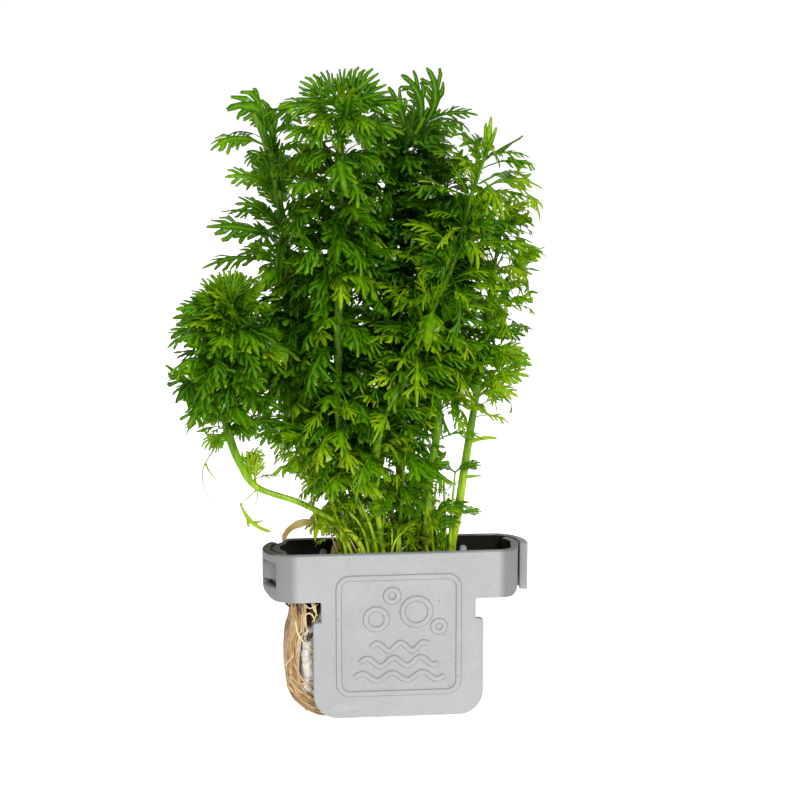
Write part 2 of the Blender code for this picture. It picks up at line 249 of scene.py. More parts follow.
def stemSurface(name, look):
    surface = Surface(name)
    spot = surface.place()
    height = surface.height()
    streaks = surface.noise(surface.place(look["streakStretch"]), look["streaksPerMetre"], detail=3.0)
    patches = surface.noise(spot, look["patchesPerMetre"])
    level = height.between(*inMetres(look["paleHeights"])) * look["lowLift"] + patches * look["patchDepth"]
    level = level + (streaks - 0.5) * look["streakDepth"] + look["tone"]
    colour = surface.ramp(level.clamped(), look["colours"])
    dirt = surface.noise(spot, look["dirtPerMetre"], detail=3.0).between(*look["dirtRange"])
    dirt = dirt * height.between(*inMetres(look["dirtHeights"]))
    colour = surface.mix(dirt * look["dirtShare"], colour, look["dirt"])
    grain = surface.noise(spot, look["grainPerMetre"], detail=1.0)
    return surface.finish(
        {"Base Color": colour, "Roughness": patches * look["roughSpread"] + look["roughness"],
         "Normal": surface.bump(streaks + grain * look["grain"], look["bump"])},
        look["gloss"],
    )


stemLook = {
    "colours": [(0.0, (0.014, 0.06, 0.001)), (0.35, (0.065, 0.18, 0.002)),
                (0.65, (0.18, 0.35, 0.005)), (1.0, (0.46, 0.58, 0.02))],
    "tone": 0.24, "paleHeights": (76.0, 38.0), "lowLift": 0.36, "patchesPerMetre": 160.0, "patchDepth": 0.45,
    "streaksPerMetre": 1500.0, "streakStretch": (1.0, 1.0, 0.12), "streakDepth": 0.8,
    "dirt": (0.1, 0.06, 0.012), "dirtShare": 0.6, "dirtPerMetre": 420.0, "dirtRange": (0.62, 0.74),
    "dirtHeights": (62.0, 40.0),
    "grainPerMetre": 3000.0, "grain": 0.3, "bump": 0.00022, "roughness": 0.25, "roughSpread": 0.2,
    "gloss": {"Coat Weight": 0.12, "Coat Roughness": 0.12, "IOR": 1.25, "Subsurface Weight": 0.15,
              "Subsurface Radius": (0.0012, 0.0018, 0.0004), "Subsurface Scale": 1.0},
}


def rootSurface(name, look):
    # the tone goes from the dark mass inside to straw
    surface = Surface(name)
    spot = surface.place()
    grain = surface.noise(spot, look["grainPerMetre"], detail=3.0, roughness=0.6)
    patches = surface.noise(spot, look["patchesPerMetre"])
    level = surface.attribute("tone") + (grain - 0.5) * look["grain"]
    level = level + (patches - 0.5) * look["patchDepth"]
    colour = surface.ramp(level.clamped(), look["colours"])
    rust = surface.noise(spot, look["rustPerMetre"]).between(*look["rustRange"])
    rust = rust * surface.height().between(*inMetres(look["rustHeights"]))
    colour = surface.mix(rust * look["rustShare"], colour, look["rust"])
    return surface.finish(
        {"Base Color": colour, "Roughness": grain * look["roughSpread"] + look["roughness"],
         "Normal": surface.bump(grain, look["bump"])},
        look["gloss"],
    )


rootLook = {
    "colours": [(0.0, (0.02, 0.012, 0.003)), (0.2, (0.12, 0.06, 0.02)), (0.42, (0.34, 0.19, 0.07)),
                (0.62, (0.47, 0.33, 0.17)), (0.8, (0.6, 0.44, 0.28)), (1.0, (0.82, 0.68, 0.37))],
    "grainPerMetre": 1300.0, "grain": 0.35, "patchesPerMetre": 210.0, "patchDepth": 0.4,
    "rust": (0.26, 0.13, 0.025), "rustShare": 0.62, "rustPerMetre": 170.0, "rustRange": (0.46, 0.6),
    "rustHeights": (13.0, 4.0), "bump": 0.0002, "roughness": 0.42, "roughSpread": 0.25,
    "gloss": {"Coat Weight": 0.15, "Coat Roughness": 0.25, "IOR": 1.35, "Subsurface Weight": 0.1,
              "Subsurface Radius": (0.0012, 0.0007, 0.0004), "Subsurface Scale": 1.0},
}


def woolSurface(name, look):
    surface = Surface(name)
    tangle = surface.noise(surface.place(), look["tanglePerMetre"], detail=5.0, roughness=0.65)
    wet = surface.noise(surface.place(look["wetStretch"]), look["wetPerMetre"]).between(*look["wetRange"])
    colour = surface.mix(wet * look["wetShare"], look["dry"], look["wet"])
    # painted shade: darker in the hollows of the tangle
    gaps = tangle.between(*look["gapRange"])
    colour = surface.mix(gaps * look["gapShare"], colour, look["gap"])
    return surface.finish(
        {"Base Color": colour, "Roughness": tangle * look["roughSpread"] + look["roughness"],
         "Normal": surface.bump(tangle, look["bump"])},
        look["gloss"],
    )


woolLook = {
    "tanglePerMetre": 700.0, "dry": (0.88, 0.86, 0.83),
    "wet": (0.66, 0.64, 0.61), "wetPerMetre": 150.0, "wetStretch": (1.0, 1.0, 0.4),
    "wetRange": (0.42, 0.68), "wetShare": 0.55,
    "gap": (0.42, 0.4, 0.38), "gapRange": (0.55, 0.35), "gapShare": 0.5,
    "bump": 0.0006, "roughness": 0.75, "roughSpread": 0.2,
    "gloss": {"Sheen Weight": 0.25, "Subsurface Weight": 0.2, "Subsurface Radius": (0.001, 0.001, 0.001),
              "Subsurface Scale": 1.0},
}


def plasticSurface(name, look):
    surface = Surface(name)
    spot = surface.place()
    x, y, z = surface.axes(spot)
    clouds = surface.noise(spot, look["cloudsPerMetre"], detail=3.0, roughness=0.6)
    grain = surface.noise(spot, look["grainPerMetre"], detail=3.0, roughness=0.6)
    colour = surface.ramp((clouds * 0.5 + grain * 0.5).clamped(), look["colours"])
    scuffs = surface.noise(surface.place(look["scuffStretch"]), look["scuffsPerMetre"], detail=3.0,
                           roughness=0.55)
    scuffs = scuffs.between(*look["scuffRange"]) * z.between(*inMetres(look["scuffHeights"]))
    colour = surface.mix(scuffs * look["scuffShare"], colour, look["scuff"])
    specks = surface.node("ShaderNodeTexVoronoi", {"feature": "F1"},
                          {"Vector": spot, "Scale": look["specksPerMetre"], "Randomness": 1.0}, "Distance")
    specks = specks.between(*look["speckRange"])
    colour = surface.mix(specks * look["speckShare"], colour, look["speck"])
    # painted shade: the inner faces are near black, the rim's top behind the front wall dark olive, and the
    # round ends darker where they turn from the light
    endX = look["endCentre"] * mm
    roundX = x.math("MAXIMUM", endX) + x.math("MINIMUM", -endX)
    faceX, faceY, faceZ = surface.axes(surface.node("ShaderNodeTexCoord", {}, {}, "Normal"))
    outward = (faceX * roundX + faceY * y) / (roundX * roundX + y * y + 1e-9).math("SQRT")
    fromPeg = (abs(x) - look["pegX"] * mm) ** 2.0 + (z - look["pegHeight"] * mm) ** 2.0
    pegs = fromPeg.between(*look["pegSquares"]) * abs(y).between(*inMetres(look["pegDepths"]))
    # painted shade: faces that look inwards, apart from the pegs, are coloured near black
    inside = outward.between(*look["inwardRange"]) * abs(x).between(*inMetres(look["insideEnds"]))
    inside = inside * (1.0 - pegs)
    # painted shade: the round ends are darker where they turn from the light, the lug at the far right less
    # so
    most, least = look["endShares"]
    ends = x.between(*inMetres(look["rightEnd"])) * (most - least) + least
    ends = abs(roundX).between(*inMetres(look["endRange"])) * ends
    endShadeColour = surface.mix(x.between(*inMetres(look["middle"])), *look["roundEndShade"])
    colour = surface.mix(ends * look["endShare"], colour, endShadeColour)
    # painted shade: the rim's upward faces behind the front wall, short of the right end, are coloured dark
    # olive
    rim = faceZ.between(*look["upwardRange"]) * z.between(*inMetres(look["rimHeights"]))
    rim = rim * y.between(*inMetres(look["rimDepths"]))
    colour = surface.mix(rim * x.between(*inMetres(look["rimEnd"])) * look["rimShare"], colour, look["rim"])
    colour = surface.mix(inside, colour, look["inside"])
    # painted shade: the raised lines' sideways faces are darker
    ridgeShadeMask = (faceY * -1.0).between(*look["sidewaysRange"]) * y.between(*inMetres(look["ridgeDepths"]))
    ridgeShadeMask = ridgeShadeMask * abs(x).between(*inMetres(look["ridgeEnds"]))
    colour = surface.mix(ridgeShadeMask * look["ridgeShare"], colour, look["ridgeSideShade"])
    roughness = clouds * look["roughSpread"] + look["roughness"] + inside * look["insideRough"]
    return surface.finish(
        {"Base Color": colour, "Roughness": roughness,
         "Normal": surface.bump(grain + clouds * look["cloudBump"], look["bump"])},
        look["gloss"],
    )


plasticLook = {
    "colours": [(0.25, (0.332, 0.337, 0.345)), (0.5, (0.379, 0.384, 0.392)), (0.75, (0.43, 0.435, 0.442))],
    "cloudsPerMetre": 95.0, "grainPerMetre": 1500.0, "cloudBump": 0.4, "bump": 0.00005,
    "roughness": 0.46, "roughSpread": 0.14, "insideRough": 0.35, "gloss": {"Specular IOR Level": 0.25},
    "scuff": (0.53, 0.53, 0.54), "scuffsPerMetre": 210.0, "scuffStretch": (0.5, 1.0, 1.7),
    "scuffRange": (0.6, 0.72), "scuffShare": 0.35,
    "speck": (0.22, 0.225, 0.235), "specksPerMetre": 260.0, "speckRange": (0.11, 0.05), "speckShare": 0.45,
    # painted shade: the round ends' tint, the rim's dark olive, the near-black inside and the raised lines'
    # darker sides
    "roundEndShade": [(0.198, 0.203, 0.195), (0.157, 0.161, 0.155)], "endShare": 0.85, "endShares": (1.0, 0.38),
    "rim": (0.055, 0.056, 0.034), "rimShare": 0.92, "inside": (0.005, 0.005, 0.002),
    "ridgeSideShade": (0.17, 0.172, 0.178), "ridgeShare": 0.5,
    # how far a face has to look inwards, up or sideways
    "inwardRange": (-0.25, -0.6), "upwardRange": (0.05, 0.4), "sidewaysRange": (0.97, 0.8),
    # centres, and where each finish begins and is full, in mm; pegSquares are squared radii, in metres
    "scuffHeights": (6.0, 1.0), "endCentre": 23.7, "endRange": (-0.4, 2.1), "rightEnd": (29.8, 29.0),
    "middle": (-10.0, 10.0), "insideEnds": (30.2, 29.3), "rimHeights": (39.7, 40.1),
    "rimDepths": (-6.6, -5.2), "rimEnd": (24.5, 18.0), "ridgeDepths": (-8.1, -8.3), "ridgeEnds": (15.6, 15.2),
    "pegX": 17.0, "pegHeight": 37.3, "pegDepths": (6.1, 6.0), "pegSquares": (1.3e-6, 0.9e-6),
}


def drySurface(name, look):
    surface = Surface(name)
    across = surface.leafMap()[0]
    patches = surface.noise(surface.place(), look["patchesPerMetre"], detail=3.0, roughness=0.6)
    level = patches * look["patchDepth"] + surface.attribute("tone") * look["toneShare"] - look["shade"]
    colour = surface.ramp(level.clamped(), look["colours"])
    ribs = (across * look["ribWaves"]).math("SINE") * 0.5 + 0.5
    colour = surface.mix(ribs * look["ribShare"], colour, look["rib"])
    surface.finish(
        {"Base Color": colour, "Roughness": patches * look["roughSpread"] + look["roughness"],
         "Normal": surface.bump(ribs * 0.5 + patches, look["bump"])},
        look["gloss"],
    )
    surface.letThrough(surface.mix(look["glowShare"], colour, look["glow"]), look["through"])
    return surface.material


dryLook = {
    "colours": [(0.0, (0.28, 0.15, 0.03)), (0.45, (0.5, 0.34, 0.09)), (1.0, (0.75, 0.62, 0.28))],
    "patchesPerMetre": 420.0, "patchDepth": 0.8, "toneShare": 0.6, "shade": 0.2,
    "rib": (0.2, 0.1, 0.015), "ribShare": 0.55, "ribWaves": 22.0,
    "bump": 0.00025, "roughness": 0.35, "roughSpread": 0.25,
    "gloss": {"Coat Weight": 0.2, "Coat Roughness": 0.25},
    "through": 0.4, "glow": (0.7, 0.48, 0.12), "glowShare": 0.5,
}
finishes = {
    "leaf": leafSurface("wetLeaf", leafLook),
    "stem": stemSurface("greenStem", stemLook),
    "root": rootSurface("tanRoot", rootLook),
    "wool": woolSurface("whiteWool", woolLook),
    "plastic": plasticSurface("greyPlastic", plasticLook),
    "dry": drySurface("dryLeaf", dryLook),
}
print("finishes ready")


# Modelling by hand: selections and moves in edit mode
def useOnly(*pieces):
    for piece in bpy.context.view_layer.objects:
        piece.select_set(False)
    for piece in pieces:
        piece.select_set(True)
    bpy.context.view_layer.objects.active = pieces[0]


def enterEdit(piece, kind, choice="DESELECT"):
    useOnly(piece)
    bpy.ops.object.mode_set(mode="EDIT")
    bpy.ops.mesh.select_mode(type=kind)
    bpy.ops.mesh.select_all(action=choice)


def leaveEdit():
    bpy.ops.object.mode_set(mode="OBJECT")


def applyPlace(piece):
    useOnly(piece)
    bpy.ops.object.transform_apply(location=True, rotation=True, scale=True)


def applyModifier(piece, kind, **settings):
    step = piece.modifiers.new(kind.lower(), kind)
    for name, value in settings.items():
        setattr(step, name, value)
    useOnly(piece)
    bpy.ops.object.modifier_apply(modifier=step.name)


def joined(name, pieces):
    useOnly(*pieces)
    bpy.ops.object.join()
    made = bpy.context.object
    made.name = name
    made.data.name = name
    return made


def added(name, data):
    made = bpy.data.objects.new(name, data)
    bpy.context.scene.collection.objects.link(made)
    return made


def copied(piece):
    # with a mesh of its own
    made = piece.copy()
    made.data = piece.data.copy()
    bpy.context.scene.collection.objects.link(made)
    return made


def asMesh(piece):
    useOnly(piece)
    bpy.ops.object.convert(target="MESH")
    return bpy.context.object


def shadeSmooth(piece, degrees=None):
    # with degrees given, edges that are sharper stay sharp
    useOnly(piece)
    if degrees is None:
        bpy.ops.object.shade_smooth()
    else:
        bpy.ops.object.shade_smooth_by_angle(angle=math.radians(degrees))


def setTone(piece, values):
    piece.data.attributes.new("tone", "FLOAT", "POINT")
    piece.data.attributes["tone"].data.foreach_set("value", values)


def selectEdgeAt(piece, place):
    # the edge whose middle is nearest to the place
    shape = bmesh.from_edit_mesh(piece.data)
    nearest = min(shape.edges, key=lambda edge: ((edge.verts[0].co + edge.verts[1].co) / 2 - place).length)
    for edge in shape.edges:
        edge.select_set(edge is nearest)
    shape.select_flush_mode()
    bmesh.update_edit_mesh(piece.data)


def turned(degrees):
    angle = math.radians(degrees)
    return Vector((math.cos(angle), math.sin(angle), 0.0))


def mapNewQuad(piece, centre, heading, before, after):
    # the leaf map runs across each lobe in u, and from the leaf's foot to its tips in v
    shape = bmesh.from_edit_mesh(piece.data)
    layer = shape.loops.layers.uv["leafMap"]
    edge = next(edge for edge in shape.edges if edge.select)
    ahead = turned(heading)
    for loop in edge.link_faces[0].loops:
        side = ahead.cross(loop.vert.co - centre).z
        loop[layer].uv = (1.0 if side > 0 else 0.0, after if loop.vert in edge.verts else before)
    bmesh.update_edit_mesh(piece.data)


def growStrip(piece, centre, facing, width, steps, reached, lift=0.0):
    # extrudes the selected edge; each step is (length, heading, width, reach of the leaf map)
    joints = [(centre, facing, width, reached)]
    for length, heading, newWidth, reach in steps:
        move = (turned(heading) * length + Vector((0.0, 0.0, lift))) * mm
        bpy.ops.mesh.extrude_edges_move(TRANSFORM_OT_translate={"value": move})
        centre = centre + move
        scale = newWidth / width
        bpy.ops.transform.resize(value=(scale, scale, scale), center_override=centre)
        bpy.ops.transform.rotate(value=math.radians(facing - heading), orient_axis="Z",
                                 center_override=centre)
        mapNewQuad(piece, centre, heading, reached, reach)
        facing, width, reached = heading, newWidth, reach
        joints.append((centre, facing, width, reached))
    return joints


def startStrip(name, length, width, reach):
    bpy.ops.mesh.primitive_plane_add(size=1.0, location=(0.0, 0.0, 0.0))
    piece = bpy.context.object
    piece.name = name
    piece.data.uv_layers[0].name = "leafMap"
    piece.scale = (length * mm, width * mm, 1.0)
    piece.location.x = length * mm / 2
    applyPlace(piece)
    enterEdit(piece, "EDGE")
    end = Vector((length * mm, 0.0, 0.0))
    selectEdgeAt(piece, end)
    mapNewQuad(piece, end, 0.0, 0.0, reach)
    return piece


def mirrored(steps):
    return [(length, -heading, width, reach) for length, heading, width, reach in steps]


def fingerSteps(shape, size, forward, reached):
    found = []
    for index, (length, heading, width) in enumerate(shape["finger"]):
        reach = reached + (1.0 - reached) * (index + 1) / len(shape["finger"])
        found.append((length * size, heading - forward, width, reach))
    return found


# shares of a tip's length and width, and how far each step reaches in the leaf map
tipSteps = [(0.6, 0.9, 0.95), (0.4, 0.45, 1.0)]
forkSteps = [(0.6, 1.0, 0.92), (0.4, 0.6, 1.0)]
forkTurn = 30.0    # degrees from a finger's line to its second tip
ribBulge = 0.8    # lower makes the middle wide over more of its length


def makeLeaf(name, shape):
    # a footstalk, a middle, and fingers that leave it in pairs
    total = leafLength(shape) / mm
    first = shape["stalk"] / 2
    piece = startStrip(name, first, shape["stalkWidth"], first / total)
    foot, widest, narrow = shape["rib"]
    steps = [(first, 0.0, foot, shape["stalk"] / total)]
    count = len(shape["pairs"])
    for index in range(count):
        reached = shape["stalk"] + shape["segment"] * (index + 1)
        share = (index + 1) / count
        bulge = (widest - (foot + narrow) / 2) * math.sin(math.pi * share) ** ribBulge
        steps.append((shape["segment"], 0.0, foot + (narrow - foot) * share + bulge, reached / total))
    for length, width, reach in tipSteps:
        steps.append((shape["tip"] * length, 0.0, narrow * width, reach))
    joints = growStrip(piece, Vector((first * mm, 0.0, 0.0)), 0.0, shape["stalkWidth"], steps, first / total)
    for index, sizes in enumerate(shape["pairs"]):
        before, after = joints[index + 1], joints[index + 2]
        for side, size in zip((1, -1), sizes):
            if not size:
                continue
            start = (before[0] + after[0]) / 2 + Vector((0.0, side * (before[2] + after[2]) / 4 * mm, 0.0))
            selectEdgeAt(piece, start)
            grown = fingerSteps(shape, size, shape["forward"] * index / count, before[3])
            grown = grown if side > 0 else mirrored(grown)
            lift = shape["lift"] * (1 if (index + side) % 3 else -1)
            finger = growStrip(piece, start, side * 90.0, shape["segment"], grown, before[3], lift)
            if (index, side) in shape["forks"]:
                growFork(piece, finger, side, shape, lift)
    leaveEdit()
    return piece


def growFork(piece, finger, side, shape, lift):
    # a short second tip on the outer side of the finger's middle
    near, far = finger[1], finger[2]
    facing = far[1] + side * 90.0
    start = (near[0] + far[0]) / 2 + turned(facing) * (near[2] + far[2]) / 4 * mm
    selectEdgeAt(piece, start)
    length, width = shape["fork"]
    heading = far[1] + side * forkTurn
    steps = [(length * long, heading, width * wide, reach) for long, wide, reach in forkSteps]
    growStrip(piece, start, facing, (far[0] - near[0]).length / mm, steps, near[3], -lift)


leafShapes = {
    # rib: the middle's width at its foot, at its widest and under the tip, in millimetres;
    # finger: (length, degrees from the middle's line, width); pairs: both fingers' sizes, foot to tip;
    # forks: the fingers with a second tip, as (pair, side)
    "broad": {
        "stalk": 4.4, "stalkWidth": 0.75, "segment": 2.1, "rib": (1.1, 1.8, 1.15), "tip": 2.6,
        "finger": [(0.6, 52.0, 1.15), (1.3, 38.0, 1.0), (1.2, 26.0, 0.62)], "lift": 0.16, "forward": 12.0,
        "pairs": [(0.7, 0.45), (1.05, 0.85), (1.1, 1.2), (0.85, 0.95)],
        "forks": [(1, 1), (2, -1)], "fork": (1.3, 0.75),
    },
    "full": {
        "stalk": 2.8, "stalkWidth": 0.85, "segment": 1.85, "rib": (1.1, 1.8, 1.1), "tip": 2.4,
        "finger": [(0.6, 54.0, 1.1), (1.1, 40.0, 0.95), (1.2, 28.0, 0.58)], "lift": 0.16, "forward": 14.0,
        "pairs": [(0.55, 0.75), (1.0, 0.9), (1.2, 1.1), (1.05, 1.15), (0.85, 0.75)],
        "forks": [(1, -1), (3, 1)], "fork": (1.2, 0.7),
    },
    "solid": {
        "stalk": 2.0, "stalkWidth": 0.9, "segment": 1.7, "rib": (1.3, 2.9, 1.7), "tip": 2.4,
        "finger": [(0.9, 46.0, 1.1), (1.2, 32.0, 0.95), (0.6, 24.0, 0.5)], "lift": 0.14, "forward": 12.0,
        "pairs": [(0.8, 0.6), (1.0, 1.2), (1.2, 1.0), (0.8, 0.9)], "forks": [(1, 1)], "fork": (1.2, 0.7),
    },
    "wide": {
        "stalk": 3.4, "stalkWidth": 0.9, "segment": 2.0, "rib": (1.2, 2.1, 1.4), "tip": 2.6,
        "finger": [(0.6, 52.0, 1.15), (1.3, 38.0, 0.95), (1.2, 28.0, 0.6)], "lift": 0.14, "forward": 12.0,
        "pairs": [(0.5, 0.6), (0.95, 0.8), (0.9, 1.1), (1.0, 0.8)],
        "forks": [(1, 1), (2, -1)], "fork": (1.1, 0.7),
    },
    "slender": {
        "stalk": 6.4, "stalkWidth": 0.6, "segment": 2.1, "rib": (0.75, 1.15, 0.85), "tip": 3.0,
        "finger": [(0.5, 50.0, 0.78), (1.3, 36.0, 0.68), (1.2, 26.0, 0.42)], "lift": 0.12, "forward": 8.0,
        "pairs": [(0.8, 0.0), (1.05, 0.85), (0.9, 1.05), (0.75, 0.7)], "forks": [(1, 1)], "fork": (1.2, 0.6),
    },
    "antler": {
        "stalk": 6.4, "stalkWidth": 0.65, "segment": 2.4, "rib": (0.8, 1.15, 0.9), "tip": 3.2,
        "finger": [(0.6, 46.0, 0.78), (1.5, 32.0, 0.68), (1.1, 22.0, 0.42)], "lift": 0.12, "forward": 4.0,
        "pairs": [(0.0, 0.9), (1.0, 0.6), (0.8, 1.0)], "forks": [(1, 1), (2, -1)], "fork": (1.2, 0.6),
    },
    "strap": {
        "stalk": 3.6, "stalkWidth": 1.0, "segment": 2.2, "rib": (1.3, 2.0, 1.3), "tip": 3.0,
        "finger": [(0.6, 46.0, 1.15), (1.4, 32.0, 0.92), (1.2, 22.0, 0.58)], "lift": 0.14, "forward": 4.0,
        "pairs": [(0.0, 0.6), (0.7, 0.0), (0.85, 0.8), (1.0, 0.9)], "forks": [(3, 1)], "fork": (1.2, 0.8),
    },
    "fan": {
        "stalk": 3.0, "stalkWidth": 0.65, "segment": 1.2, "rib": (0.8, 1.2, 0.85), "tip": 2.8,
        "finger": [(0.6, 60.0, 0.78), (1.5, 45.0, 0.7), (1.3, 32.0, 0.45)], "lift": 0.12, "forward": 40.0,
        "pairs": [(0.8, 0.9), (1.0, 0.95), (0.95, 0.9)], "forks": [(0, 1), (1, -1)], "fork": (1.1, 0.6),
    },
    "bud": {
        "stalk": 1.6, "stalkWidth": 1.2, "segment": 1.5, "rib": (1.6, 2.4, 1.6), "tip": 3.0,
        "finger": [(0.6, 36.0, 0.8), (0.7, 22.0, 0.4)], "lift": 0.05, "forward": 4.0,
        "pairs": [(0.8, 0.9), (1.0, 1.0), (1.0, 0.9)], "forks": [],
    },
    "spear": {
        "stalk": 1.0, "stalkWidth": 0.9, "segment": 1.2, "rib": (1.1, 1.5, 1.0), "tip": 2.4,
        "pairs": [(0.0, 0.0)] * 4,
    },
    "hanging": {
        "stalk": 2.0, "stalkWidth": 0.7, "segment": 1.8, "rib": (0.8, 1.3, 1.1), "tip": 3.4,
        "finger": [(1.2, 50.0, 0.7), (1.3, 44.0, 0.65), (0.8, 40.0, 0.35)], "lift": 0.05, "forward": 0.0,
        "pairs": [(0.0, 0.0), (0.0, 0.0), (0.0, 0.6), (0.9, 0.0), (0.0, 0.0)], "forks": [],
    },
    "ribbon": {
        "stalk": 5.0, "stalkWidth": 0.45, "segment": 1.4, "rib": (0.9, 1.9, 1.2), "tip": 1.4,
        "pairs": [(0.0, 0.0)] * 8,
    },
}


def leafLength(shape):
    return (shape["stalk"] + shape["segment"] * len(shape["pairs"]) + shape["tip"]) * mm


patternLeaves = {name: makeLeaf(name + "Pattern", shape) for name, shape in leafShapes.items()}
for pattern in patternLeaves.values():
    shadeSmooth(pattern)
print("pattern leaves:", {name: len(piece.data.polygons) for name, piece in patternLeaves.items()})


# Leaves along their own lines
straightUp = np.array([0.0, 0.0, 1.0])
leafLine = {"points": 14, "spare": 1.02, "unevenWaves": 1.3}    # spare: the line's length to the leaf's
setLeafLook = {"fold": -12.0, "foldByTilt": 0.6, "curl": 0.02, "width": 1.0, "uneven": 0.12,
               "ruffle": (0.15, 0.9, 1.0), "startByTone": 9.0}


def levelWay(angle):
    return np.array([math.cos(angle), math.sin(angle), 0.0])


def unit(rows):
    return rows / np.maximum(np.linalg.norm(rows, axis=-1, keepdims=True), 1e-12)


def lengthsAlong(route):
    return np.concatenate([[0.0], np.cumsum(np.linalg.norm(np.diff(route, axis=0), axis=1))])


def along(route, reached, distances):
    return np.stack([np.interp(distances, reached, route[:, axis]) for axis in range(3)], axis=1)


def bentLeaf(kind, length, route, side, look):
    # a copy of a pattern leaf, bent along a route with its right-hand side given
    depth, waves, shift, start = look["ruffle"]
    fold = math.radians(look["fold"])
    made = copied(patternLeaves[kind])
    points = np.empty(len(made.data.vertices) * 3, np.float32)
    made.data.vertices.foreach_get("co", points)
    points = points.reshape(-1, 3).astype(float) * (length / leafLength(leafShapes[kind]))
    reached = lengthsAlong(route)
    tangents = unit(np.gradient(route, axis=0))
    normals = unit(np.cross(tangents, side))
    sides = np.cross(normals, tangents)
    distance = points[:, 0]
    place = points[:, 0:1] / mm
    uneven = 1.0 + look["uneven"] * np.sin(place * leafLine["unevenWaves"] + start)
    across = points[:, 1:2] * look["width"] * uneven
    spread = across * math.cos(fold)
    wave = np.sin(place * waves + np.sign(across) * shift + start)
    lift = np.abs(across) * (math.sin(fold) + depth * wave) - look["curl"] * across ** 2 / mm
    lift = lift + points[:, 2:3]
    final = (along(route, reached, distance) + unit(along(sides, reached, distance)) * spread
             + unit(along(normals, reached, distance)) * lift)
    made.data.vertices.foreach_set("co", final.astype(np.float32).ravel())
    setTone(made, np.full(len(final), look["tone"], np.float32))
    return made


def arcRoute(start, outward, up, length, look):
    # a leaf's line: it leaves at the angle rise and bends down by droop on its way, swaying sideways
    count = leafLine["points"]
    shares = np.linspace(0.0, 1.0, count)
    angle = np.radians(look["rise"] - look["droop"] * shares ** look["hook"])
    step = length / (count - 1)
    sideways = np.cross(up, outward)
    directions = np.outer(np.cos(angle), outward) + np.outer(np.sin(angle), up)
    directions = unit(directions + np.outer(look["sway"] * shares, sideways))
    route = np.vstack([start, start + np.cumsum(directions[:-1] * step, axis=0)])
    return route, np.tile(sideways, (count, 1))


def leafOn(kind, start, outward, up, look):
    length = look["size"] * mm
    route, side = arcRoute(start, outward, up, length * leafLine["spare"], look)
    tangents = unit(np.gradient(route, axis=0))
    turn = np.radians(look["twist"]) * np.linspace(0.0, 1.0, len(route))[:, None]
    side = side * np.cos(turn) + np.cross(tangents, side) * np.sin(turn)
    return bentLeaf(kind, length, route, side, look)


def leafFrom(route, kind, foot, heading, rise, droop, length, tone, tilt, hook=1.2):
    # one leaf that can be told apart. foot is a height on the stem or a place; heading is seen from
    # above, 0 to the right and -90 to the front; its upper side looks to the front, tilt degrees
    # upwards, and the more it looks up, the more its fingers hang
    if not isinstance(foot, tuple):
        foot = [np.interp(foot * mm, route[:, 2], route[:, axis]) / mm for axis in range(3)]
    line = arcRoute(np.array(foot) * mm, levelWay(math.radians(heading)), straightUp,
                    length * leafLine["spare"] * mm,
                    {"rise": rise, "droop": droop, "hook": hook, "sway": 0.0})[0]
    facing = np.array([0.0, -math.cos(math.radians(tilt)), math.sin(math.radians(tilt))])
    side = unit(np.cross(facing, unit(np.gradient(line, axis=0))))
    look = dict(setLeafLook, tone=tone)
    look["fold"] = look["fold"] - look["foldByTilt"] * max(0.0, tilt)
    look["ruffle"] = (*look["ruffle"], tone * look["startByTone"])
    return bentLeaf(kind, length * mm, line, side, look)


def smoothRoute(points, spacing):
    # a smooth curve through the points, read at about this spacing
    places = np.array(points, float) * mm
    ends = np.vstack([2 * places[0] - places[1], places, 2 * places[-1] - places[-2]])
    found = [places[0]]
    for index in range(1, len(ends) - 2):
        before, first, second, after = ends[index - 1:index + 3]
        count = max(1, round(float(np.linalg.norm(second - first)) / (spacing * mm)))
        for step in range(1, count + 1):
            share = step / count
            found.append(0.5 * (2 * first + (second - before) * share
                                + (2 * before - 5 * first + 4 * second - after) * share ** 2
                                + (3 * first - before - 3 * second + after) * share ** 3))
    return np.array(found)


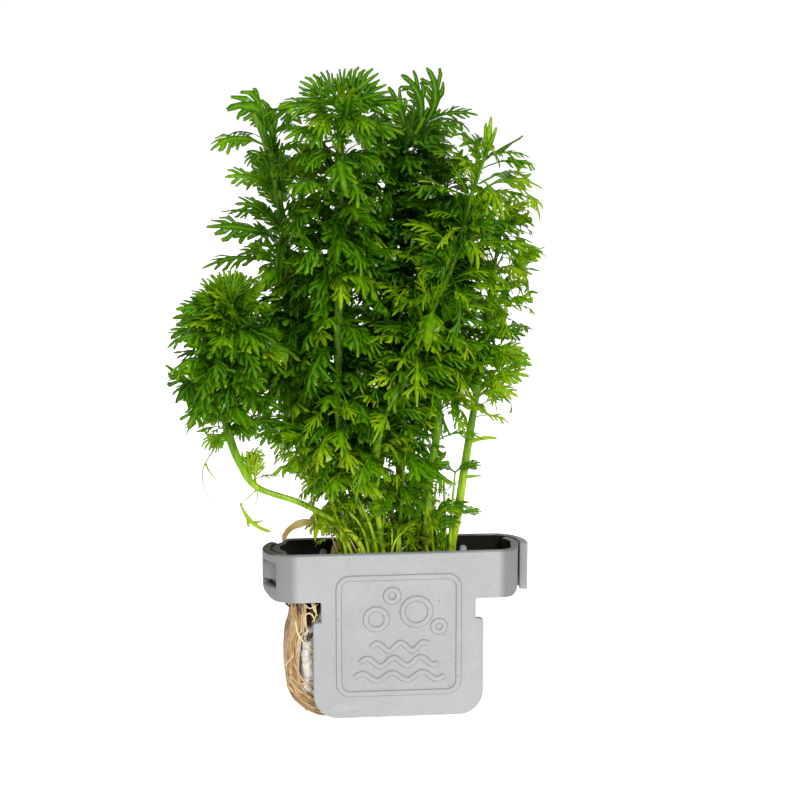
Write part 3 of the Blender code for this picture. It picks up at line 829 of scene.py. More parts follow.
# The stems, from the holder up
stemHabit = {
    # what a stem has where its own plan says nothing else
    "rise": 44, "droop": 112, "tipRise": 62, "upright": 0.4, "bud": True,
    "shrink": [(30.0, 1.0), (80.0, 0.84)], "few": (0.0, 0), "clear": (0.0, -1.0, 1.0),
}
stems = {
    # rings: the first and last whorl's distance under the tip, and the room between two, in mm;
    # fill: how many small leaves in the shade, from and to which distance under the tip;
    # shrink: leaf size by distance; few: down to this distance a whorl has this many leaves;
    # clear: down to this distance leaves keep between these two directions, -1 left and 1 right;
    # upright: 0 where leaves hang by their weight, 1 where they keep to the stem's own direction;
    # girth: the radius by the share of the length, in mm
    "left_runner": {
        "radius": 0.95,
        "route": [(-7.5, -4, 30.5), (-8.5, -4, 41), (-14.5, -4, 47.5), (-23, -4, 52.5), (-33, -4, 56.5),
                  (-37, -4, 62.5), (-39.8, -3.5, 71), (-39.8, -3, 79), (-39.3, -5.5, 88), (-38.5, -9, 96),
                  (-38.5, -12, 101.5)],
        "kinds": ("full", "full", "broad"), "size": 15.5, "count": 9, "rise": 30, "droop": 80, "tipRise": 70,
        "tone": 0.54, "rings": (2.0, 30.5, 3.9), "upright": 0.85, "seed": 3, "fill": (110, 3.0, 26.0),
        "shrink": [(14.0, 1.0), (24.0, 0.62), (32.0, 0.5)],
        "girth": [(0.0, 0.7), (0.42, 0.7), (0.56, 1.0), (0.85, 1.0), (1.0, 0.5)],
    },
    "front": {
        "radius": 1.0,
        "route": [(-5, -2, 30.5), (-6, -2.5, 41), (-9.5, -3.5, 53), (-12.5, -5, 64), (-14, -6, 74),
                  (-14, -7.5, 92), (-13.5, -8.5, 113), (-13.4, -9, 129), (-13.2, -9, 147)],
        "kinds": ("broad", "full", "slender"), "size": 16.0, "count": 11, "rise": 40, "droop": 118,
        "tipRise": 52, "tone": 0.5, "rings": (3.4, 86.0, 6.4), "seed": 1, "fill": (100, 14.0, 82.0),
        "girth": [(0.0, 0.55), (0.3, 0.7), (0.5, 1.0), (0.9, 0.9), (1.0, 0.5)],
    },
    "right_lean": {
        "radius": 1.0,
        "route": [(-2, -3, 30.5), (-3.5, -3.5, 41), (-5, -4.5, 53), (-5.2, -5.5, 64), (-3, -6.5, 74),
                  (1.6, -7, 82.5), (7.3, -8, 97), (13.2, -8, 111), (16.6, -8, 124.5), (20, -8.5, 135)],
        "kinds": ("slender", "slender", "antler"), "size": 18.5, "count": 11, "rise": 56, "droop": 98,
        "tipRise": 44, "bud": False, "tone": 0.74, "upright": 0.6,
        "rings": (2.0, 70.0, 6.4), "seed": 4, "few": (34.0, 5), "fill": (50, 16.0, 62.0),
        "girth": [(0.0, 0.5), (0.3, 0.9), (0.42, 0.9), (0.55, 0.65), (1.0, 0.35)],
    },
    "middle": {
        "radius": 0.9,
        "route": [(6.5, -2, 30.5), (7, -2, 41), (7.5, -2, 50), (8, -2, 58), (9.5, -1.5, 66.5), (10, 0, 78),
                  (9, 1, 92), (8, 2, 106), (9, 3, 119), (11, 3, 128)],
        "kinds": ("slender", "broad"), "size": 16.0, "count": 11, "tone": 0.52,
        "rings": (0.6, 50.0, 6.0), "seed": 7, "fill": (170, 0.0, 50.0),
        "girth": [(0.0, 0.8), (0.3, 1.0), (0.45, 0.9), (0.6, 0.7), (1.0, 0.4)],
    },
    "upper_left": {
        "radius": 0.9,
        "route": [(-11, 3, 30.5), (-11, 3, 40), (-14.3, 4, 51), (-19.5, 6, 68), (-23, 7, 85), (-25, 8, 101),
                  (-25.5, 8.5, 115.5), (-27, 8.5, 124), (-27.6, 8.5, 131), (-30, 8.5, 138),
                  (-32.5, 8.5, 143)],
        "kinds": ("broad", "slender"), "size": 16.0, "count": 10, "rise": 56, "droop": 130, "tipRise": 60,
        "bud": False, "tone": 0.58, "rings": (9.0, 82.0, 6.4), "seed": 5, "clear": (46.0, -0.3, 1.0),
        "fill": (50, 26.0, 80.0),
        "girth": [(0.0, 0.8), (0.72, 0.8), (0.84, 1.0), (0.93, 1.15), (1.0, 0.6)],
    },
    "top_right": {
        "radius": 0.9,
        "route": [(1.5, 3, 30.5), (1.7, 3, 40), (1.4, 4, 55), (0, 6, 75), (-1.5, 8, 98.5), (-1.3, 9, 117.5),
                  (0.5, 9, 128), (3, 9, 134), (6, 9, 138.5), (7.5, 9, 141.5)],
        "kinds": ("broad", "full"), "size": 15.0, "count": 11, "rise": 46, "tipRise": 40,
        "bud": False, "tone": 0.42, "rings": (6.0, 80.0, 6.0), "seed": 6, "fill": (150, 8.0, 80.0),
    },
    "lower_right": {
        "radius": 1.2,
        "route": [(13, 1, 30.5), (13.7, 1, 40), (15, 1, 47), (16.5, 1, 58), (18, 1, 68), (20.4, 1, 83.5),
                  (22, 1, 97), (24, 1, 111), (26, 1, 120)],
        "kinds": ("full", "antler", "slender"), "size": 13.0, "count": 9, "rise": 50, "tone": 0.88,
        "rings": (0.6, 42.0, 6.0), "seed": 8, "fill": (50, 0.0, 38.0),
        "girth": [(0.0, 1.1), (0.3, 1.0), (0.45, 0.9), (0.6, 0.6), (1.0, 0.35)],
    },
    "low_centre": {
        "radius": 0.5,
        "route": [(0.5, -4, 30.5), (0.5, -4, 41), (0.8, -4.5, 49), (1.2, -5.5, 58), (1.8, -6, 66)],
        "kinds": ("full", "antler", "slender"), "size": 10.0, "count": 6, "rise": 40, "droop": 100,
        "tone": 0.5, "rings": (0.5, 14.0, 3.4), "seed": 9, "clear": (30.0, -1.0, 0.3),
        "fill": (16, 0.0, 14.0),
    },
    "low_left": {
        "radius": 0.5,
        "route": [(-9, -1, 30.5), (-9.8, -1, 40), (-12.5, -1, 50), (-15.7, -1, 57), (-18.5, -1, 64.5),
                  (-21, -1, 73)],
        "kinds": ("full", "antler", "slender"), "size": 11.0, "count": 6, "rise": 40, "droop": 100,
        "tone": 0.7, "rings": (0.5, 22.0, 3.4), "seed": 10, "fill": (14, 0.0, 16.0),
    },
    "back_centre": {
        "radius": 0.9,
        "route": [(-7, 1.5, 30.5), (-8, 1.5, 40), (-10.3, 2, 53.5), (-14.2, 2.5, 68), (-18, 2.5, 83),
                  (-21, 2, 100), (-22, 1, 114), (-22, 1, 125.5), (-21, 1, 133)],
        "kinds": ("broad", "full", "slender"), "size": 15.5, "count": 11, "tone": 0.74,
        "rings": (1.0, 76.0, 6.0), "seed": 11, "clear": (34.0, -0.25, 1.0),
        "fill": (120, 20.0, 74.0),
    },
}
whorlHabit = {
    "closeUntil": 14.0, "closeShare": 0.6,    # whorls sit closer down to this distance under the tip, mm
    "youngUntil": 12.0, "oldFrom": 30.0, "oldFor": 50.0,    # distances under the tip, mm
    "crownUntil": 7.0,    # down to this distance the leaves are the crown's short ones, mm
    "crownShare": (0.5, 0.7),    # their size at the tip and at crownUntil, as a share of a full-grown leaf
    "riseSpread": 11.0, "droopSpread": 16.0, "youngDroop": 0.45, "hook": (0.9, 1.6), "twistSpread": 22.0,
    "swaySpread": 0.2, "sizeSpread": 0.13, "turnSpread": 10.0, "fold": (-52.0, 0.0), "curl": (0.0, 0.05),
    "width": (0.85, 1.15), "uneven": 0.3,
    # the ruffle's depth, waves per millimetre, the shift between the two sides, and the start
    "ruffle": [(0.05, 0.2), (0.5, 1.3), (0.0, 3.1), (0.0, 6.2)],
    "toneSpread": 0.16, "youngLift": 0.16, "oldLift": 0.04, "tilt": 0.14, "slide": 0.7, "footShare": 0.7,
    # grown leaves that hang by their weight, with the middle and the spread of rise and droop
    "hangShare": 0.2, "hangRise": (8.0, 14.0), "hangDroop": (78.0, 18.0), "hangShade": 0.08,
}
fillerHabit = {
    # shade: painted shade, how far the fillers' tone is lowered below their stem's
    "size": (8.0, 13.0), "rise": (-60.0, 70.0), "twistSpread": 60.0, "droop": (0.0, 100.0), "shade": 0.16,
    "toneSpread": 0.12, "fromStem": (0.0, 4.0),
}
budHabit = {
    "count": 4, "turn": 2.4, "turnSpread": 0.3, "size": (0.26, 0.36), "rise": (66.0, 84.0),
    "droop": (-12.0, 18.0), "twistSpread": 25.0, "fold": (20.0, 40.0), "sink": 0.6, "toneLift": 0.2,
    "same": {"hook": 1.3, "sway": 0.0, "curl": 0.02, "width": 0.9, "uneven": 0.0,
             "ruffle": (0.0, 1.0, 0.0, 0.0)},
}
sideOfStem = (0.31, -0.95, 0.0)    # the turn round a stem starts at right angles to this


def mixed(first, second, share):
    return first + (second - first) * share


def eased(value):
    value = min(1.0, max(0.0, value))
    return value * value * (3 - 2 * value)


def ringPlaces(first, last, room):
    closest, until = whorlHabit["closeShare"], whorlHabit["closeUntil"]
    found = [first]
    while found[-1] < last:
        found.append(found[-1] + room * mixed(closest, 1.0, eased(found[-1] / until)))
    return found


def turnRound(ahead, angle):
    # the way out of a stem that runs ahead, at an angle round it
    sideways = unit(np.cross(ahead, sideOfStem))
    return sideways * math.cos(angle) + np.cross(sideways, ahead) * math.sin(angle)


def whorl(plan, route, reached, distance, chance):
    # one ring of leaves round the stem, at a distance under its tip
    habit = whorlHabit
    where = np.array([reached[-1] - distance * mm])
    spot = along(route, reached, where)[0]
    ahead = unit(along(unit(np.gradient(route, axis=0)), reached, where))[0]
    above = mixed(straightUp, ahead, plan["upright"])
    above = unit(above + [chance.gauss(0.0, habit["tilt"]) for _ in range(3)])
    grown = eased(distance / habit["youngUntil"])
    old = eased((distance - habit["oldFrom"]) / habit["oldFor"])
    grownSize = plan["size"] * float(np.interp(distance, *zip(*plan["shrink"])))
    inCrown = distance < habit["crownUntil"]
    least, most = habit["crownShare"]
    share = mixed(least, most, distance / habit["crownUntil"]) if inCrown else mixed(most, 1.0, grown)
    until, few = plan["few"]
    count = few if distance < until else plan["count"]
    clearUntil, leastX, mostX = plan["clear"]
    start = chance.uniform(0.0, 360.0)
    made = []
    for index in range(count):
        turn = start + 360.0 * index / count + chance.gauss(0.0, habit["turnSpread"])
        outward = turnRound(ahead, math.radians(turn))
        if distance < clearUntil and not leastX < outward[0] < mostX:
            continue
        look = anyLook(chance)
        look["size"] = grownSize * share * (1.0 + chance.gauss(0.0, habit["sizeSpread"]))
        look["rise"] = mixed(plan["tipRise"], plan["rise"], grown) + chance.gauss(0.0, habit["riseSpread"])
        droop = plan["droop"] * mixed(habit["youngDroop"], 1.0, grown)
        look["droop"] = droop + chance.gauss(0.0, habit["droopSpread"])
        tone = plan["tone"] + habit["youngLift"] * (1.0 - grown) + habit["oldLift"] * old
        look["tone"] = tone + chance.gauss(0.0, habit["toneSpread"])
        if chance.random() < habit["hangShare"] * grown:
            look.update(rise=chance.gauss(*habit["hangRise"]), droop=chance.gauss(*habit["hangDroop"]),
                        tone=look["tone"] - habit["hangShade"])
        out = outward * plan["radius"] * habit["footShare"]
        foot = spot + (out - ahead * chance.gauss(0.0, habit["slide"])) * mm
        kind = "fan" if inCrown else chance.choice(plan["kinds"])
        made.append(leafOn(kind, foot, outward, above, look))
    return made


def fillers(plan, route, reached, chance):
    # small leaves turned every way, which close the shady room round the stem; their tone is lowered as
    # painted shade
    habit = fillerHabit
    made = []
    count, first, last = plan["fill"]
    for index in range(count):
        where = np.array([reached[-1] - chance.uniform(first, last) * mm])
        spot = along(route, reached, where)[0]
        outward = levelWay(chance.uniform(0.0, 2.0 * math.pi))
        look = anyLook(chance)
        look.update(size=chance.uniform(*habit["size"]), rise=chance.uniform(*habit["rise"]),
                    twist=chance.gauss(0.0, habit["twistSpread"]), droop=chance.uniform(*habit["droop"]),
                    tone=plan["tone"] - habit["shade"] + chance.gauss(0.0, habit["toneSpread"]))
        foot = spot + outward * chance.uniform(*habit["fromStem"]) * mm
        made.append(leafOn("solid", foot, outward, straightUp, look))
    return made


def anyLook(chance):
    habit = whorlHabit
    ruffle = [chance.uniform(*span) for span in habit["ruffle"]]
    return {"twist": chance.gauss(0.0, habit["twistSpread"]), "sway": chance.gauss(0.0, habit["swaySpread"]),
            "hook": chance.uniform(*habit["hook"]), "fold": chance.uniform(*habit["fold"]),
            "curl": chance.uniform(*habit["curl"]), "width": chance.uniform(*habit["width"]),
            "ruffle": ruffle, "uneven": habit["uneven"]}


def tipBud(plan, route, chance):
    # the youngest leaves, folded together round the growing tip
    habit = budHabit
    ahead = unit(route[-1] - route[-2])
    made = []
    for index in range(habit["count"]):
        outward = turnRound(ahead, habit["turn"] * index + chance.gauss(0.0, habit["turnSpread"]))
        look = dict(habit["same"], size=plan["size"] * chance.uniform(*habit["size"]),
                    rise=chance.uniform(*habit["rise"]), droop=chance.uniform(*habit["droop"]),
                    twist=chance.gauss(0.0, habit["twistSpread"]), fold=chance.uniform(*habit["fold"]),
                    tone=plan["tone"] + habit["toneLift"])
        made.append(leafOn("bud", route[-1] - ahead * habit["sink"] * mm, outward, ahead, look))
    return made


setLeaves = {
    # leaves that can be told apart, as leafFrom takes them:
    # (kind, foot, heading, rise, droop, length, tone, tilt)
    "left_runner": [
        ("fan", 101, 180, 62, 8, 8, 0.66, 12), ("fan", 101.5, 180, 80, 4, 8, 0.7, 12),
        ("fan", 101.5, 0, 84, 6, 8, 0.66, 12), ("fan", 101, 0, 66, 10, 8, 0.62, 12),
        ("full", 101, 190, 26, 16, 9.5, 0.64, 18), ("full", 101, 185, 6, 20, 12.5, 0.56, 24),
        ("full", 99, 190, -4, 22, 12, 0.54, 24), ("broad", 96, 185, 8, 46, 14.5, 0.36, 28),
        ("full", 94, 185, -26, 30, 11, 0.5, 24), ("broad", 90, 182, -46, 6, 15.5, 0.26, 16),
        ("broad", 82, 185, 2, 34, 11, 0.54, 22), ("fan", 82, 182, 24, -6, 10, 0.92, 12),
        ("fan", 81, 182, -8, 34, 9, 0.94, 12), ("broad", 86, -120, -60, 20, 12, 0.5, 16),
        ("broad", 90, -50, -50, 25, 12, 0.5, 16),
        ("slender", 68, 2, 24, 76, 13.5, 0.2, 60), ("fan", 68, 184, 24, 110, 7.5, 0.8, 26),
        ("fan", 68, 205, 4, 80, 6, 0.62, 16), ("fan", 56.8, 2, 94, 26, 7.5, 0.76, 6),
        ("full", 70, 10, 30, 70, 15, 0.14, 40), ("full", 71, -60, 24, 80, 11, 0.3, 30),
        ("fan", 63, 20, 20, 40, 7, 0.6, 30), ("fan", 60, 10, 64, 30, 7, 0.7, 20),
        ("fan", 57.5, 178, 78, -10, 8, 0.7, 6), ("slender", 58, 2, 28, 46, 7.5, 0.45, 50),
        ("spear", 51, -60, -50, 30, 4, 0.8, 40), ("spear", (-33, -4, 73.5), 0, -88, 10, 4.5, 0.5, 6),
        ("hanging", (-37, -5, 53), 0, -72, -66, 10.5, 0.95, 6),
    ],
    "front": [
        ("fan", 146, 180, 60, 4, 8.5, 0.42, -12), ("fan", 146, 182, 32, 6, 10.5, 0.46, -12),
        ("fan", 146.5, 10, 82, 0, 7.5, 0.4, 0), ("fan", 146, -4, 42, 8, 11, 0.46, -12),
        ("fan", 145.5, -12, 22, 12, 11.5, 0.5, 6), ("fan", 146, 8, 56, 6, 9.5, 0.46, -12),
        ("fan", 145.5, 192, 16, 12, 10.5, 0.48, 12),
        ("broad", 144, -10, 26, 44, 15.5, 0.56, 36), ("broad", 144, 190, 26, 52, 15, 0.6, 36),
        ("slender", 144.5, 12, 30, 56, 17, 0.2, 60), ("slender", 142.5, 172, 22, 44, 20.5, 0.34, 56),
        ("full", 143, -84, 20, 100, 12, 0.68, 22), ("full", 143, -118, 20, 90, 14, 0.64, 22),
        ("full", 143, -62, 22, 90, 14, 0.68, 26), ("broad", 138, 196, 36, 84, 14.5, 0.52, 34),
        ("broad", 138, -16, 38, 80, 16, 0.52, 34), ("full", 140, -95, 12, 84, 11.5, 0.62, 22),
        ("broad", 140, -58, 22, 92, 13.5, 0.58, 28), ("broad", 140, -128, 22, 92, 13.5, 0.6, 28),
        ("full", 136, -90, 14, 90, 11, 0.54, 24), ("full", 134, -40, 26, 96, 12.5, 0.5, 28),
        ("full", 134, -140, 26, 96, 12.5, 0.52, 28),
    ],
    "right_lean": [
        ("spear", 134.5, -10, 80, -6, 8.5, 0.84, 4), ("spear", 134.5, 10, 92, 4, 7, 0.7, 4),
        ("spear", 134.5, -10, 64, -12, 6.5, 0.74, 4), ("fan", 134, 180, 66, 20, 6, 0.3, 20),
        ("slender", 124, -3, 46, 92, 18.5, 0.82, 45), ("slender", 124, -10, 28, 68, 15, 0.64, 45),
        ("slender", 131, 4, 28, 60, 12.5, 0.46, 45), ("slender", 133.5, -6, 26, 62, 11, 0.74, 45),
        ("spear", 134, 8, 26, -4, 10, 0.25, 60),
        ("antler", 117.5, -3, 42, 96, 17.5, 0.7, 45), ("slender", 117.5, -10, 26, 76, 15, 0.62, 45),
        ("antler", 111, -4, 32, 64, 20, 0.72, 50), ("slender", 124, 208, 62, 10, 10.5, 0.76, 16),
        ("slender", 124, -60, 86, 20, 9.5, 0.7, 16), ("slender", 111, 200, 60, 72, 17, 0.8, 34),
        ("antler", 111, -125, 66, 0, 8.5, 0.9, 16), ("antler", 111, -20, 62, 60, 12, 0.86, 28),
        ("antler", 111, -35, 42, 56, 13, 0.8, 40), ("slender", 117.5, 210, 54, 86, 12, 0.66, 34),
        ("antler", 117.5, -40, 64, 54, 9.5, 0.76, 34), ("antler", 104, 220, 56, 66, 11.5, 0.9, 28),
        ("antler", 104, -60, 80, 20, 10, 0.86, 28), ("slender", 104, -25, 44, 70, 14, 0.7, 38),
        ("slender", 104, -15, 30, 76, 15.5, 0.62, 38), ("antler", 97, 230, 76, 30, 12, 0.9, 22),
        ("antler", 97, -60, 76, 36, 10.5, 0.84, 22), ("slender", 124, 200, 36, 80, 17, 0.5, 38),
        ("slender", 97, -20, 34, 66, 16, 0.62, 38), ("slender", 95, -8, 22, 60, 17, 0.5, 44),
        ("full", 92, 205, 44, 80, 14, 0.46, 34), ("full", 92, -110, 50, 100, 13, 0.5, 30),
        ("broad", 88, -60, 54, 96, 15, 0.52, 34), ("slender", 88, -16, 34, 64, 17, 0.56, 40),
        ("slender", 86, -30, 24, 56, 17, 0.44, 44), ("full", 85, -140, 50, 100, 13, 0.44, 30),
        ("broad", 82, -100, 50, 100, 14, 0.48, 30), ("broad", 82, -40, 46, 84, 15, 0.5, 36),
        ("slender", 80, -14, 30, 60, 17, 0.5, 42), ("full", 76, -70, 50, 100, 13, 0.46, 30),
        ("full", 76, 200, 46, 90, 12, 0.4, 30), ("full", 73, -20, 40, 90, 12, 0.4, 34),
    ],
    "upper_left": [
        ("wide", 134, 182, 104, 150, 18.5, 0.38, 12), ("broad", 134.5, 184, 38, 96, 15.5, 0.56, 40),
        ("slender", 136, 178, 44, 86, 10.5, 0.15, 55), ("fan", 134, 190, -4, 70, 7, 0.24, 8),
        ("broad", 124, 184, 44, 62, 13.5, 0.58, 26), ("broad", 116, 184, 54, 66, 13.5, 0.38, 26),
        ("slender", 119, 180, 16, 30, 14.5, 0.12, 50), ("broad", 113, 184, 26, 36, 19, 0.26, 34),
        ("full", 124, 200, 72, 6, 12, 0.44, 6), ("full", 122, 168, 66, 10, 13, 0.36, 6),
        ("full", 126, -100, 84, 10, 12, 0.46, 6), ("full", 122, 4, 76, 14, 12, 0.4, 10),
        ("broad", 116, -20, 62, 70, 14, 0.46, 24), ("full", 114, 194, 56, 24, 11, 0.4, 16),
        ("broad", 108, 188, 34, 60, 12, 0.24, 30), ("slender", 107, 194, 24, 56, 21, 0.12, 40),
        ("fan", 136, 176, 84, 6, 9.5, 0.42, 8), ("full", 130, -110, 74, 20, 9, 0.4, 14),
        ("broad", 133, -8, 40, 96, 12, 0.4, 34), ("full", 126, -20, 46, 96, 13, 0.4, 34),
        ("full", 119, -50, 50, 90, 12, 0.42, 30), ("full", 128, -120, 40, 90, 10, 0.44, 30),
        ("full", 119, 200, 66, 30, 10, 0.42, 14), ("full", 110, -90, 60, 80, 12, 0.4, 24),
    ],
    "top_right": [
        ("strap", 134.5, 180, 90, 40, 15, 0.2, 6), ("antler", 135, 0, 76, -12, 11, 0.22, 4),
        ("strap", 137.5, 184, 116, 96, 16, 0.2, 6), ("strap", 138.5, 184, 138, 98, 16.5, 0.22, 6),
        ("slender", 139.5, -8, 34, 58, 14.5, 0.28, 24), ("slender", 138.5, 8, 40, 108, 15, 0.16, 50),
        ("broad", 138, -15, 36, 80, 12, 0.34, 34), ("fan", 133.5, 184, 78, 8, 8.5, 0.26, 16),
        ("full", 134, -30, 32, 82, 13, 0.3, 34), ("full", 132, -40, 22, 90, 12.5, 0.24, 34),
        ("full", 136, 20, 30, 70, 12, 0.2, 30), ("full", 130, 160, 30, 70, 12, 0.2, 30),
    ],
    "lower_right": [
        ("broad", 88.5, -12, 46, 80, 11, 0.14, 26), ("full", 84.5, -12, 40, 50, 11, 0.92, 26),
        ("slender", 84, -10, 30, 46, 10, 0.4, 50), ("full", 76.5, -14, 54, 80, 14.5, 0.84, 26),
        ("full", 76, -24, 34, 72, 11, 0.9, 26), ("slender", 73, -14, 40, 42, 9.5, 0.76, 40),
        ("antler", 71, -12, 22, 74, 9.5, 0.8, 40), ("spear", 65, -10, 26, 40, 7, 0.82, 30),
        ("spear", 58.5, -10, 22, 10, 3.5, 0.65, 30), ("spear", 56.5, -10, 10, 10, 4.5, 0.65, 30),
        ("broad", 47, -20, 36, 60, 6.5, 0.4, 30),
        ("full", (14, -2, 58.5), 178, 42, 76, 7, 0.1, 28), ("full", (14, -2, 58.5), 2, 42, 76, 7, 0.1, 28),
    ],
    "low_left": [
        ("broad", 71, 176, 8, 82, 14, 0.3, 12), ("broad", 72, 200, -24, 44, 12, 0.44, 12),
        ("broad", 68, -160, 10, 70, 11, 0.6, 12), ("fan", 60, 185, 40, 110, 8, 0.8, 12),
        ("fan", 58, 190, -10, 60, 7.5, 0.86, 12), ("fan", 55, 200, 20, 90, 7, 0.9, 12),
    ],
    "low_centre": [
        ("fan", 52, 170, 60, 20, 7, 0.9, 12), ("fan", 47, 30, -60, 10, 5, 0.95, 12),
        ("slender", 55, -30, 40, 80, 10, 0.6, 24), ("full", 50, 200, 40, 90, 10, 0.5, 28),
    ],
    "middle": [
        ("fan", 62, 190, -70, 10, 6, 0.8, 12), ("slender", 48, -20, 30, 60, 10, 0.6, 24),
        ("slender", 56, 196, 40, 80, 11, 0.55, 28), ("full", 52, 200, 50, 90, 10, 0.45, 28),
        ("full", 66, 170, 44, 96, 12, 0.3, 28), ("slender", 66, -10, 36, 80, 12, 0.4, 34),
        ("full", 60, 186, 50, 110, 9, 0.3, 28), ("broad", 50, 184, 46, 90, 13, 0.16, 28),
        ("broad", 47, 2, 46, 84, 12, 0.14, 28), ("full", 45, 196, 56, 90, 10, 0.2, 24),
        ("full", 43, -16, 54, 76, 10, 0.24, 24), ("slender", 42, -60, 66, 90, 11, 0.3, 24),
        ("fan", 40, 200, 40, 90, 7, 0.5, 24), ("fan", 39, -30, 30, 90, 7, 0.5, 24),
    ],
}
dryLeaves = [
    # dead leaves, each from a place on the shoot or the wool that carries it, with their hook
    ("ribbon", (-11.5, -1.4, 46), 195, 14, 126, 18.5, 0.5, 30, 3.2),
    ("ribbon", (-14.5, -3, 30.5), 0, 98, 190, 17, 0.7, 26, 3.2),
    ("ribbon", (0.7, -4.3, 45.5), 160, 66, 40, 6, 0.85, 12, 1.2),
    ("ribbon", (7, -2.5, 45), -90, -40, 30, 5, 0.9, 12, 1.2),
]


holderRoom = {"top": 41.2, "halfDepth": 5.9}    # the room between the holder's long walls, mm


def clearOfHolder(leaves):
    # without the leaves that would pass through the holder's long walls
    top, wall = holderRoom["top"] * mm, holderRoom["halfDepth"] * mm
    kept = []
    for leaf in leaves:
        if any(point.co.z < top and abs(point.co.y) > wall for point in leaf.data.vertices):
            bpy.data.objects.remove(leaf)
        else:
            kept.append(leaf)
    return kept


def growLeaves(name, plan):
    chance = random.Random(plan["seed"])
    route = smoothRoute(plan["route"], 1.5)
    reached = lengthsAlong(route)
    made = []
    for distance in ringPlaces(*plan["rings"]):
        made += whorl(plan, route, reached, distance, chance)
    if plan["bud"]:
        made += tipBud(plan, route, chance)
    made += fillers(plan, route, reached, chance)
    made += [leafFrom(route, *leaf) for leaf in setLeaves.get(name, [])]
    return joined("leaves." + name, clearOfHolder(made))


def tubes(name, lines, sides, tones=()):
    # round tubes through lists of (place, radius), all in one mesh; tones gives each line its own shade
    curve = bpy.data.curves.new(name, "CURVE")
    curve.dimensions = "3D"
    curve.bevel_depth = 1.0
    curve.bevel_resolution = sides
    curve.use_fill_caps = True
    for line in lines:
        spline = curve.splines.new("POLY")
        spline.points.add(len(line) - 1)
        for point, (place, radius) in zip(spline.points, line):
            point.co = (*place, 1.0)
            point.radius = radius
    made = asMesh(added(name, curve))
    enterEdit(made, "VERT", "SELECT")
    bpy.ops.mesh.remove_doubles(threshold=0.000002)
    bpy.ops.mesh.normals_make_consistent(inside=False)
    leaveEdit()
    shadeSmooth(made)
    if tones:
        giveTones(made, lines, tones)
    return made


def giveTones(piece, lines, tones):
    # each point takes the tone of the line that passes nearest to it
    tree = KDTree(sum(len(line) for line in lines))
    owners = []
    for tone, line in zip(tones, lines):
        for place, radius in line:
            tree.insert(Vector(place), len(owners))
            owners.append(tone)
    tree.balance()
    setTone(piece, [owners[tree.find(point.co)[1]] for point in piece.data.vertices])


knotHabit = {"swell": 0.22, "length": 1.2}    # how much thicker a stem is at a whorl, and over how much of it


def growStem(name, plan):
    # tapered, and a little thicker where each whorl sits
    route = smoothRoute(plan["route"], 1.0)
    reached = lengthsAlong(route)
    knots = reached[-1] - np.array(ringPlaces(*plan["rings"])) * mm
    full = plan["radius"]
    shares, girths = zip(*plan.get("girth", [(0.0, full), (0.5, full * 0.85), (1.0, full * 0.5)]))
    line = []
    for place, distance in zip(route, reached):
        nearest = float(np.min(np.abs(knots - distance))) / mm
        radius = float(np.interp(distance / reached[-1], shares, girths))
        swell = 1.0 + knotHabit["swell"] * math.exp(-nearest ** 2 / knotHabit["length"])
        line.append((place, radius * mm * swell))
    return tubes(name, [line], 3)


def asPart(piece, finish, slot, *nodes):
    piece.data.materials.clear()
    piece.data.materials.append(finishes[finish])
    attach(piece, "root")
    if nodes:
        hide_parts(*nodes)
    return piece


for name, plan in stems.items():
    plan = {**stemHabit, **plan}
    asPart(growStem("stem." + name, plan), "stem", "stem_green", "stem_" + name)
    asPart(growLeaves(name, plan), "leaf", "leaf_green", "leaves_" + name)
print("leafy stems grown")


# Threads and small loose leaves
def thread(points, radius, endShare=0.35):
    route = smoothRoute(points, 0.8)
    last = len(route) - 1
    return [(place, radius * mm * mixed(1.0, endShare, index / last)) for index, place in enumerate(route)]


looseThreads = {
    # thin shoots out of the wool, and fine tendrils and rootlets that hang from the runner
    "stem": [
        ([(-4, -4, 31), (-5.5, -5, 43), (-8.5, -6.5, 52), (-14, -8, 62)], 0.55),
        ([(-6, -3.5, 31), (-8, -4.5, 45), (-14.5, -7, 54)], 0.5),
        ([(-2.5, -5, 31), (-1, -5.5, 42), (2.5, -6, 46.5)], 0.5),
        ([(13, -1.5, 31), (13, -1.5, 44), (14, -2, 58.5)], 0.6),
        ([(-43, -5, 66), (-45.5, -6, 62), (-45.5, -6.5, 58), (-44, -7, 54.5)], 0.16),
        ([(-45, -6, 63), (-44, -6.5, 61), (-42.5, -7, 59.5)], 0.24),
        ([(-33, -4, 56), (-35, -5, 54.5), (-37, -5, 52.5)], 0.18),
        ([(-33, -4, 56), (-33, -5, 54), (-34, -5, 52)], 0.16),
        ([(-39.5, -3.5, 75), (-35, -4, 74.5), (-32, -4, 72)], 0.2),
    ],
    "root": [
        ([(-16.5, -4, 48), (-15.5, -3, 44), (-14, -3, 39)], 0.3),
        ([(-14.5, -4, 47), (-13, -1, 42), (-11.5, -1, 38)], 0.24),
        ([(-12.5, -4, 46), (-10.5, -5, 42), (-8.5, -5, 38)], 0.18),
    ],
}
sprigPlan = {
    # short young shoots that fill the room over the holder's opening
    "count": 74, "footX": (-12.0, 12.0), "footY": (-4.0, 3.0), "footZ": 31.0, "seed": 31,
    # how far each goes to the right, back and up, and the share of that at its two bends
    "move": [(-6.0, 2.5), (-2.0, 1.5), (10.0, 28.0)], "bends": [(0.15, 0.3, 0.4), (0.55, 0.7, 0.75)],
    "radius": (0.3, 0.6), "endShare": 0.6,
    "leaves": (5, 9), "kinds": ("fan", "slender", "antler"), "leafSize": (4.5, 8.5), "tone": (0.3, 0.95),
    "along": (0.45, 1.0), "rise": (45.0, 20.0), "droop": (80.0, 35.0),
}
threadTone = 0.8


